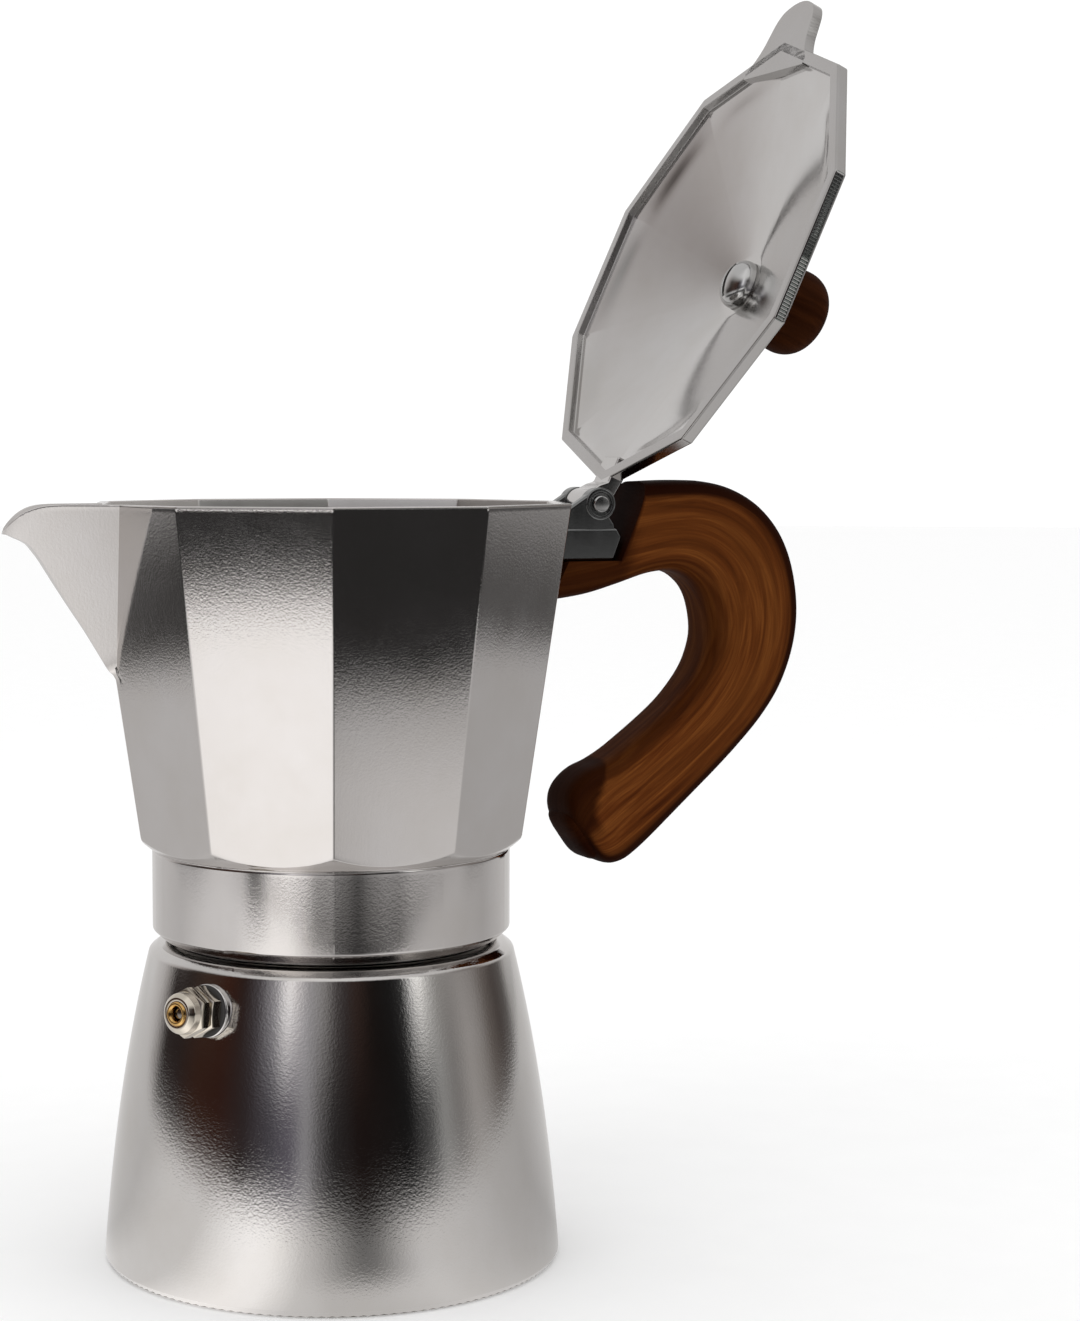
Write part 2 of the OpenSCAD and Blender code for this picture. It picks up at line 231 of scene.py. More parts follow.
# ---------------------------------------------------------------- materials
def mat_new(name):
    m = bpy.data.materials.new(name)
    m.use_nodes = True
    nt = m.node_tree
    nt.nodes.clear()
    out = nt.nodes.new("ShaderNodeOutputMaterial")
    b = nt.nodes.new("ShaderNodeBsdfPrincipled")
    nt.links.new(b.outputs[0], out.inputs[0])
    return m, nt, b


def coords(nt, scale=(1, 1, 1), rot=(0, 0, 0)):
    t = nt.nodes.new("ShaderNodeTexCoord")
    m = nt.nodes.new("ShaderNodeMapping")
    m.inputs["Scale"].default_value = scale
    m.inputs["Rotation"].default_value = rot
    nt.links.new(t.outputs["Object"], m.inputs["Vector"])
    return m.outputs[0]


def noise(nt, vec, scale, detail=2.0, rough=0.5, dist=0.0):
    n = nt.nodes.new("ShaderNodeTexNoise")
    n.inputs["Scale"].default_value = scale
    n.inputs["Detail"].default_value = detail
    n.inputs["Roughness"].default_value = rough
    n.inputs["Distortion"].default_value = dist
    nt.links.new(vec, n.inputs["Vector"])
    return n.outputs["Fac"]


def ramp(nt, fac, stops, mode="LINEAR"):
    r = nt.nodes.new("ShaderNodeValToRGB")
    r.color_ramp.interpolation = mode
    e = r.color_ramp.elements
    while len(e) > 1:
        e.remove(e[0])
    for i, (p, c) in enumerate(stops):
        c = (c, c, c) if not hasattr(c, "__len__") else c
        k = e[0] if i == 0 else e.new(p)
        k.position = p
        k.color = (*c, 1)
    nt.links.new(fac, r.inputs[0])
    return r.outputs[0]


def math_n(nt, op, a, b=None, c=None):
    n = nt.nodes.new("ShaderNodeMath")
    n.operation = op
    for i, v in enumerate((a, b, c)):
        if v is None:
            continue
        if isinstance(v, (int, float)):
            n.inputs[i].default_value = v
        else:
            nt.links.new(v, n.inputs[i])
    return n.outputs[0]


def map_range(nt, v, a, b, c, d):
    n = nt.nodes.new("ShaderNodeMapRange")
    for k, x in zip(("From Min", "From Max", "To Min", "To Max"), (a, b, c, d)):
        n.inputs[k].default_value = x
    nt.links.new(v, n.inputs["Value"])
    return n.outputs[0]


def mixc(nt, fac, a, b, mode="MIX"):
    n = nt.nodes.new("ShaderNodeMix")
    n.data_type = "RGBA"
    n.blend_type = mode
    for sock, v in ((n.inputs[0], fac), (n.inputs[6], a), (n.inputs[7], b)):
        if isinstance(v, (int, float)):
            sock.default_value = v
        elif isinstance(v, tuple):
            sock.default_value = (*v, 1)
        else:
            nt.links.new(v, sock)
    return n.outputs[2]


def bump(nt, b, height, dist, strength=1.0):
    n = nt.nodes.new("ShaderNodeBump")
    n.inputs["Strength"].default_value = strength
    n.inputs["Distance"].default_value = dist
    nt.links.new(height, n.inputs["Height"])
    nt.links.new(n.outputs[0], b.inputs["Normal"])
    return n


def metal(name, base, rough, spread, grain=900, depth=6e-6, brush=0.0, brush_scale=(700, 700, 16),
          tint=(0.93, 0.92, 0.9), aniso=0.0):
    """Metal with a grain from the mould, a brushed direction and dull patches."""
    m, nt, b = mat_new(name)
    v = coords(nt)
    patch = noise(nt, v, 45, 4, 0.6)
    fine = noise(nt, v, grain, 3, 0.6)
    line = noise(nt, coords(nt, brush_scale), 1.0, 3, 0.65)
    col = ramp(nt, patch, [(0.3, tuple(x * t for x, t in zip(base, tint))), (0.7, base)])
    nt.links.new(col, b.inputs["Base Color"])
    r = math_n(nt, "ADD", map_range(nt, patch, 0.3, 0.7, rough - spread, rough + spread),
               map_range(nt, line, 0.3, 0.7, -0.5 * spread, 0.5 * spread))
    nt.links.new(r, b.inputs["Roughness"])
    b.inputs["Metallic"].default_value = 1
    if aniso:
        b.inputs["Anisotropic"].default_value = aniso
    h = math_n(nt, "ADD", math_n(nt, "MULTIPLY", fine, 1.0), math_n(nt, "MULTIPLY", line, brush))
    bump(nt, b, h, depth)
    return m


ALU = (0.57, 0.555, 0.55)
M = {}
M["boiler"] = metal("polished_aluminium", (0.62, 0.605, 0.595), 0.05, 0.015, 1800, 2.1e-5, 0.1, (1200, 1200, 30))
M["chamber"] = metal("satin_aluminium", (0.62, 0.60, 0.592), 0.085, 0.015, 1900, 1.1e-5, 0.6, (1500, 1500, 25))
M["collar"] = M["chamber"]
M["inside"] = metal("cast_aluminium", (0.72, 0.71, 0.70), 0.38, 0.05, 700, 1.6e-5, 0.2)
M["lid"] = metal("lid_aluminium", (0.60, 0.59, 0.585), 0.12, 0.02, 1500, 2e-6, 0.1, (300, 14, 14))
M["lid_edge"] = metal("lid_edge", (0.46, 0.45, 0.445), 0.17, 0.03, 900, 3e-6, 0.2)
M["lid_step"] = metal("lid_step", (0.5, 0.49, 0.485), 0.26, 0.03, 300, 1e-7, 0.1)
M["rim"] = metal("machined_aluminium", (0.62, 0.61, 0.60), 0.2, 0.03, 900, 4e-6, 0.3, (60, 60, 1800))
M["nickel"] = metal("nickel_plate", (0.66, 0.61, 0.53), 0.11, 0.03, 900, 2e-6, 0.2, (60, 60, 1200))
M["steel"] = metal("steel", (0.55, 0.55, 0.55), 0.16, 0.04, 900, 2e-6, 0.2)
M["brass"] = metal("brass", (0.68, 0.44, 0.17), 0.2, 0.05, 900, 3e-6, 0.3, (60, 60, 1500), (0.85, 0.8, 0.7))
M["spring"] = metal("spring_steel", (0.48, 0.48, 0.49), 0.22, 0.04, 1200, 2e-6, 0.2)
M["funnel"] = metal("funnel_aluminium", (0.62, 0.61, 0.60), 0.26, 0.05, 900, 4e-6, 0.7, (30, 30, 1200))
# painted shade: the low base colour darkens the hinge lug, webs and ears for the shadow and dark reflections they sit
# in
M["hinge"] = metal("hinge_painted_shade", (0.20, 0.205, 0.205), 0.2, 0.05, 900, 1e-5, 0.1)
M["ticks"] = metal("milled_ridges", (0.30, 0.32, 0.31), 0.22, 0.05, 900, 6e-6, 0.3)


def wood(name, side, dark_edge=True):
    """Lacquered wood. GRAIN holds the distance along the piece, across it and the depth, in mm; EDGE is painted shade,
    0 on the flat side faces and up to 1 on the rounded edges and the other faces that lie in shade, where it mixes in
    the last, near-black colour.
    """
    m, nt, b = mat_new(name)
    at = nt.nodes.new("ShaderNodeAttribute")
    at.attribute_name = "grain"
    mp = nt.nodes.new("ShaderNodeMapping")
    mp.inputs["Scale"].default_value = (0.026, 0.34, 0.2)
    nt.links.new(at.outputs["Vector"], mp.inputs["Vector"])
    streak = noise(nt, mp.outputs[0], 1.0, 4, 0.6, 1.1)
    mp2 = nt.nodes.new("ShaderNodeMapping")
    mp2.inputs["Scale"].default_value = (0.05, 1.7, 0.7)
    nt.links.new(at.outputs["Vector"], mp2.inputs["Vector"])
    fibre = noise(nt, mp2.outputs[0], 1.0, 3, 0.6, 0.3)
    mp3 = nt.nodes.new("ShaderNodeMapping")
    mp3.inputs["Scale"].default_value = (0.02, 0.06, 0.05)
    nt.links.new(at.outputs["Vector"], mp3.inputs["Vector"])
    broad = noise(nt, mp3.outputs[0], 1.0, 2, 0.5)
    c1 = ramp(nt, streak, [(0.30, side[0]), (0.47, side[1]), (0.62, side[2]), (0.75, side[1])])
    c2 = mixc(nt, map_range(nt, fibre, 0.35, 0.65, 0.0, 0.45), c1, side[0])
    c3 = mixc(nt, map_range(nt, broad, 0.35, 0.65, 0.0, 0.5), c2, side[3])
    ed = nt.nodes.new("ShaderNodeAttribute")
    ed.attribute_name = "edge"
    # painted shade: EDGE mixes in side[4], a near-black brown, where the handle lies in shade
    col = mixc(nt, ed.outputs["Fac"], c3, side[4])
    nt.links.new(col, b.inputs["Base Color"])
    nt.links.new(map_range(nt, fibre, 0.3, 0.7, 0.5, 0.62), b.inputs["Roughness"])
    b.inputs["Coat Weight"].default_value = 0.01
    b.inputs["Coat Roughness"].default_value = 0.15
    b.inputs["Specular IOR Level"].default_value = 0.035
    b.inputs["IOR"].default_value = 1.2
    bump(nt, b, fibre, 1.5e-5)
    return m


# the fifth colour is the painted shade that EDGE mixes in on the handle
M["handle"] = wood("handle_wood", [(0.038, 0.0085, 0.0020), (0.092, 0.0240, 0.0048), (0.160, 0.050, 0.0105),
                                   (0.094, 0.030, 0.0062), (0.0150, 0.0032, 0.0009)])
M["knob"] = wood("knob_wood", [(0.014, 0.0035, 0.001), (0.024, 0.0065, 0.0018), (0.036, 0.010, 0.0026),
                               (0.028, 0.0075, 0.002), (0.012, 0.003, 0.0009)])


def rubber(name, col, rough=0.55):
    m, nt, b = mat_new(name)
    v = coords(nt)
    p = noise(nt, v, 160, 3, 0.6)
    nt.links.new(ramp(nt, p, [(0.3, tuple(x * 0.86 for x in col)), (0.7, col)]), b.inputs["Base Color"])
    nt.links.new(map_range(nt, p, 0.3, 0.7, rough - 0.06, rough + 0.08), b.inputs["Roughness"])
    b.inputs["Specular IOR Level"].default_value = 0.4
    bump(nt, b, noise(nt, v, 1800, 2, 0.5), 1.2e-5)
    return m


M["gasket"] = rubber("silicone", (0.62, 0.59, 0.52))
M["seal_red"] = rubber("fibre_washer", (0.035, 0.033, 0.032), 0.7)

# ---------------------------------------------------------------- dimensions (mm)
HX, HZ, LID_OPEN = 63.0, 169.8, 114.5
RIM_Z, RIM_R, FOOT_R, FOOT_Z = 170.5, 55.4, 44.3, 96.3


def rb(z):
    return 51.8 - 0.075 * z - 0.0008 * z * z - 0.000004 * z ** 3


def rc(z):
    return FOOT_R + (RIM_R - FOOT_R) * (z - FOOT_Z) / (RIM_Z - FOOT_Z)


LID_M = (Matrix.Translation((HX * MM, 0, HZ * MM)) @ Matrix.Rotation(LID_OPEN * RAD, 4, "Y")
         @ Matrix.Translation((-HX * MM, 0, -HZ * MM)))
VALVE_M = (Matrix.Rotation(213.4 * RAD, 4, "Z") @ Matrix.Translation((43.1 * MM, 0, 62.2 * MM))
           @ Matrix.Rotation(84 * RAD, 4, "Y"))


def deca_k(theta, f):
    """Radius of a ten-cornered outline of corner radius 1 whose corners are rounded with radius f."""
    d = (theta / (36 * RAD)) % 1.0
    d = min(d, 1 - d) * 36 * RAD          # angle from the nearest corner
    tt = f * 0.3249197
    dt = math.atan2(tt * math.sin(108 * RAD), 1 + tt * math.cos(108 * RAD))
    if d < dt:
        c = 1 - f / math.cos(18 * RAD)
        return c * math.cos(d) + math.sqrt(max(f * f - (c * math.sin(d)) ** 2, 0))
    return math.cos(18 * RAD) / math.cos(d - 18 * RAD)


def deca_dt(f):
    tt = f * 0.3249197
    return math.atan2(tt * math.sin(108 * RAD), 1 + tt * math.cos(108 * RAD))


# ---------------------------------------------------------------- boiler
def make_boiler():
    out = [(50.35, 0.0)]
    zs = list(np.linspace(1.1, 68.2, 44))
    low = fillet([(49.6, 0), (50.7, 0.0), (rb(1.3), 1.3), (rb(2.6), 2.6)], 0.7, 4)
    prof = [(0, 0.5), (20, 0.5), (44, 0.5), (47, 0.15)] + [tuple(p) for p in low]
    prof += [(rb(z), z) for z in np.linspace(3.4, 67.6, 44)]
    sh = fillet([(rb(67.6), 67.6), (rb(70.1), 70.1), (39.4, 71.5), (37.6, 72.0), (35.8, 72.1),
                 (35.8, 74.2), (36.2, 74.7)], [0, 1.7, 1.5, 1.2, 0.5, 0.4, 0], 5)
    prof += [tuple(p) for p in sh[1:]]
    neck = [(36.2, z) for z in np.linspace(75.0, 84.2, 47)]
    prof += neck
    top = fillet([(36.2, 84.3), (35.9, 84.95), (32.3, 85.0), (32.0, 84.5), (32.0, 71.8), (34, 69.8),
                  (rb(68.4) - 2.4, 68.4), (rb(60) - 2.4, 60)], [0, .5, .4, .4, 2, 1, 1, 0], 3)
    prof += [tuple(p) for p in top]
    prof += [(rb(z) - 2.4, z) for z in np.linspace(58, 9, 26)]
    prof += [tuple(p) for p in fillet([(rb(8) - 2.4, 8), (rb(5) - 3.4, 3.05), (38, 3.0), (0, 3.0)], [0, 4, 0.5, 0], 5)]
    prof = np.array(prof)
    n = 288
    th = np.arange(n) * TAU / n
    P = np.zeros((n, len(prof), 3))
    R = np.repeat(prof[None, :, 0], n, 0)
    Z = np.repeat(prof[None, :, 1], n, 0)
    # thread on the neck, cut into the outer cylinder
    z = Z
    ph = (z - 75.0) / 2.0 - th[:, None] / TAU
    tri = np.abs(((ph % 1.0) - 0.5) * 2)
    fade = np.clip((z - 75.4) / 0.8, 0, 1) * np.clip((84.0 - z) / 0.8, 0, 1)
    on_neck = (R > 36.19) & (Z > 74.9) & (Z < 84.25)
    R = np.where(on_neck, R - 0.85 * (1 - np.clip(tri * 1.35, 0, 1)) * fade, R)
    # fine notches round the bottom edge
    notch = (np.abs(((th / TAU * 144) % 1.0) - 0.5) < 0.26)[:, None]
    edge = (Z > 0.05) & (Z < 1.25) & (R > 50)
    R = np.where(edge & notch, R - 0.28, R)
    P[:, :, 0] = np.cos(th)[:, None] * R
    P[:, :, 1] = np.sin(th)[:, None] * R
    P[:, :, 2] = Z
    o = grid("boiler_shell", P, M["boiler"], True, False)
    o.data.materials.append(M["inside"])
    for p in o.data.polygons:
        c = p.center / MM
        r = math.hypot(c.x, c.y)
        if (r < rb(c.z) - 1.2 and 2.2 < c.z < 69) or (r < 32.1 and c.z < 84.6 and c.z > 2):
            p.material_index = 1
    # drilled hole and the flat boss for the valve
    boss = lathe("boss", fillet([(0, -2.6), (5.8, -2.6), (5.8, 0.7), (0, 0.7)], [0, .2, .5, 0], 3), M["boiler"], 64)
    transform(boss, VALVE_M)
    hole = lathe("hole", [(0, -12), (4.05, -12), (4.05, 6), (0, 6)], M["boiler"], 64)
    transform(hole, VALVE_M)
    m = o.modifiers.new("boss", "BOOLEAN")
    m.operation, m.solver, m.object = "UNION", "EXACT", boss
    m = o.modifiers.new("hole", "BOOLEAN")
    m.operation, m.solver, m.object = "DIFFERENCE", "EXACT", hole
    bake(o)
    for c in (boss, hole):
        bpy.data.objects.remove(c)
    sharp_by_angle(o, 34)
    weighted(o)
    place(o, "boiler", "boiler", "boiler")
    return o


def sharp_by_angle(o, deg):
    bm = bmesh.new()
    bm.from_mesh(o.data)
    lim = deg * RAD
    for e in bm.edges:
        if len(e.link_faces) == 2:
            e.smooth = e.calc_face_angle(0) < lim
    for f in bm.faces:
        f.smooth = True
    bm.to_mesh(o.data)
    bm.free()


# ---------------------------------------------------------------- upper chamber
F_ROUND = 1.1 / 55.4
DT = deca_dt(F_ROUND)
SEC = 36 * RAD


def facet_angles(n_in):
    """Polar angles over one facet from just after a corner's rounding to just before the next."""
    a = DT
    q0, q1 = 0.0, 1.0
    out = []
    # equal steps along the flat side
    p0 = np.array([math.cos(a), math.sin(a)]) * deca_k(a, F_ROUND)
    b = SEC - a
    p1 = np.array([math.cos(b), math.sin(b)]) * deca_k(b, F_ROUND)
    for i in range(n_in + 2):
        w = i / (n_in + 1)
        p = p0 * (1 - w) + p1 * w
        out.append(math.atan2(p[1], p[0]))
    return out


CORNER = [-0.5 * DT, 0.0, 0.5 * DT]
RIDGE = catmull([(-49.4, 131), (-51.5, 134.4), (-56.2, 142.4), (-59.7, 147.8), (-63, 153), (-66.2, 158.2),
                 (-67.6, 160.1), (-69, 161.8), (-70.5, 162.7), (-72.4, 163.5), (-74.3, 164.5)], 6)
LIP = catmull([(-74.3, 164.6), (-73.7, 165.8), (-72.2, 167.4), (-70.1, 169.0), (-67.4, 170.1), (-64, 170.5),
               (-58, 170.5), (-51.0, 170.5)], 6)
CHAN = catmull([(-47.6, 134.5), (-49.9, 138.6), (-54.9, 146.4), (-58.4, 151.8), (-61.7, 157.2), (-64.9, 161.6),
                (-67.4, 163.5), (-69.6, 164.6), (-71.8, 165.3), (-73.0, 165.9)], 6)
APEX = np.array([-49.5, 0, 131.3])
C_RIM = np.array([-51.0, -10.05, 170.5])
TIP = np.array([-81.9, 0, 170.5])
SN = np.cross(C_RIM - APEX, TIP - APEX)


def side_y(x, z):
    return -(SN[0] * (x - APEX[0]) + SN[2] * (z - APEX[2])) / SN[1]


N_AB, N_BC, N_CD, N_DE = 3, 16, 5, 9


def spout_low_angles():
    """Polar offsets from the corner at 180 degrees of the half spout's columns, below the spout."""
    s = [0.0]
    s += list(np.linspace(0, 0.006, N_AB + 1)[1:])
    s += list(np.linspace(0.006, 0.045, N_BC + 1)[1:])
    s += list(np.linspace(0.045, 0.075, N_CD + 1)[1:])
    end = 0.618034 - F_ROUND * 0.32492
    s += list(np.linspace(0.075, end, N_DE + 1)[1:])
    c = np.array([1.0, 0.0])
    d = np.array([math.cos(108 * RAD), math.sin(108 * RAD)])
    return [math.atan2((c + d * q)[1], (c + d * q)[0]) for q in s]


LOW = spout_low_angles()


def smooth(x):
    x = min(max(x, 0.0), 1.0)
    return x * x * (3 - 2 * x)


def facet_pt(q, z, inset=0.0):
    """Point on the flat side next to the spout, q mm from its corner at 180 degrees, on the near side."""
    r = rc(z)
    c = np.array([-r, 0.0])
    d = np.array([math.cos(-72 * RAD), math.sin(-72 * RAD)])
    p = c + d * q
    nrm = np.array([math.cos(198 * RAD), math.sin(198 * RAD)])
    p = p - nrm * inset
    return np.array([p[0], p[1], z])


def spout_outer(t):
    """Half ring of the spout's outer surface at height share t, near side."""
    zr = 131.0 + 33.5 * t
    x = float(np.interp(zr, RIDGE[:, 1], RIDGE[:, 0]))
    w = min(side_y(x, zr), -0.35)
    B = np.array([x, w, zr])
    A = np.array([x, 0, zr])
    z = 131.3 + 39.2 * t
    Cp = APEX * (1 - t) + C_RIM * t
    tq = max((z - 139.0) / 31.5, 0)
    D = facet_pt(2.7 * min(t / 0.2, 1) + 22.3 * tq ** 1.05, z)
    r = rc(z)
    e = SEC - DT
    ke = deca_k(e, F_ROUND) * r
    E = np.array([math.cos(math.pi + e) * ke, math.sin(math.pi + e) * ke, z])
    pts = [A + (B - A) * i / N_AB for i in range(N_AB)]
    for i in range(N_BC):
        s = (i / N_BC)
        s2 = s
        P = B * (1 - s2) + Cp * s2
        # the top edge follows the curled lip
        n = s * (len(LIP) - 1)
        k = int(n)
        L = LIP[k] * (1 - (n - k)) + LIP[min(k + 1, len(LIP) - 1)] * (n - k)
        x1 = np.array([-74.3, side_y(-74.3, 164.5), 164.5])
        top = np.array([L[0], side_y(L[0], L[1]), L[1]])
        lin = x1 * (1 - s2) + C_RIM * s2
        P = P + (top - lin) * t ** 2.2
        pts.append(P)
    for i in range(N_CD):
        s = i / N_CD
        pts.append(Cp * (1 - s) + D * s)
    for i in range(N_DE + 1):
        s = i / N_DE
        pts.append(D * (1 - s) + E * s)
    return np.array(pts)


def spout_inner(t):
    """Half ring of the channel's surface, matching spout_outer."""
    zr = 134.5 + (165.9 - 134.5) * t
    x = float(np.interp(zr, CHAN[:, 1], CHAN[:, 0]))
    w = min(side_y(x, zr) + 1.5, -0.25 - 0.5 * t)
    if t > 0.9:
        w = min(w, -0.75)
    B = np.array([x, w, zr])
    A = np.array([x, 0, zr])
    z = 134.5 + 36.0 * t
    q = 10.2 * t
    Cp = facet_pt(q, z, 2.25)
    Cp[1] = min(Cp[1], -0.3)
    D = facet_pt(max(26.0 * t, 3.0 * min(t / 0.1, 1)), z, 2.2)
    r = rc(z) - 2.31
    e = SEC - DT
    ke = deca_k(e, F_ROUND) * r
    E = np.array([math.cos(math.pi + e) * ke, math.sin(math.pi + e) * ke, z])
    pts = [A + (B - A) * i / N_AB for i in range(N_AB)]
    Ctop = facet_pt(10.2, 170.5, 2.25)
    Btop = np.array([-73.0, -0.75, 165.9])
    for i in range(N_BC):
        s = i / N_BC
        P = B * (1 - s) + Cp * s
        n = s * (len(LIP) - 1)
        k = int(n)
        L = LIP[k] * (1 - (n - k)) + LIP[min(k + 1, len(LIP) - 1)] * (n - k)
        # top edge, one wall inside the outer one
        top = np.array([L[0] + 1.3 * (1 - s) + 0.0 * s, side_y(L[0], L[1]) + 1.45, L[1] + 0.15 * (1 - s)])
        top[1] = min(top[1], -0.5)
        wgt = t ** 2.2
        lin = Btop * (1 - s) + Ctop * s
        tgt = top * (1 - s ** 6) + Ctop * s ** 6
        P = P + (tgt - lin) * wgt
        pts.append(P)
    for i in range(N_CD):
        s = i / N_CD
        pts.append(Cp * (1 - s) + D * s)
    for i in range(N_DE + 1):
        s = i / N_DE
        pts.append(D * (1 - s) + E * s)
    return np.array(pts)


def chamber_angles():
    """Angles of all columns below the spout, from the ridge at 180 degrees once round."""
    ang = [math.pi + a for a in LOW]                       # 180 -> 216 - DT
    fa = facet_angles(9)
    for k in range(6, 14):                                  # corners 216 .. 504 (=144)
        c = k * SEC
        ang += [c + a for a in CORNER]
        ang += [c + a for a in fa]
    c = 14 * SEC                                            # corner at 144 degrees
    ang += [c + a for a in CORNER]
    ang += [3 * math.pi - a for a in reversed(LOW)][:-1]     # 144 + DT -> 180
    return ang


ANG = chamber_angles()
NH = len(LOW)


def ring_circle(r, z):
    return np.array([(r * math.cos(a), r * math.sin(a), z) for a in ANG])


def ring_deca(R, z, f=F_ROUND):
    z = np.broadcast_to(z, (len(ANG),))
    R = np.broadcast_to(R, (len(ANG),))
    return np.array([(R[i] * deca_k(a, f) * math.cos(a), R[i] * deca_k(a, f) * math.sin(a), z[i])
                     for i, a in enumerate(ANG)])


def with_spout(ring, half, w=1.0):
    ring = ring.copy()
    n = NH
    a = ring[:n] * (1 - w) + half * w
    ring[:n] = a
    b = half.copy()
    b[:, 1] *= -1
    b = b[::-1][:-1]
    ring[-(n - 1):] = ring[-(n - 1):] * (1 - w) + b * w
    return ring


FOOT = [(40.42, 92.9), (40.75, 93.35), (41.6, 93.95), (42.9, 95.05), (44.4, 96.5), (46.6, 98.4), (50, 101.6)]
FOOT_Z2 = np.array([p[1] for p in FOOT])
FOOT_R2 = np.array([p[0] for p in FOOT])


def foot_profile():
    """For each column: where the flared foot meets the flat side."""
    out = []
    zz = np.linspace(93.0, 100, 1401)
    rf = np.interp(zz, FOOT_Z2, FOOT_R2)
    for a in ANG:
        k = deca_k(a, F_ROUND)
        fl = k * (FOOT_R + (RIM_R - FOOT_R) * (zz - FOOT_Z) / (RIM_Z - FOOT_Z))
        i = int(np.argmax(rf >= fl))
        out.append(zz[i])
    return np.array(out)


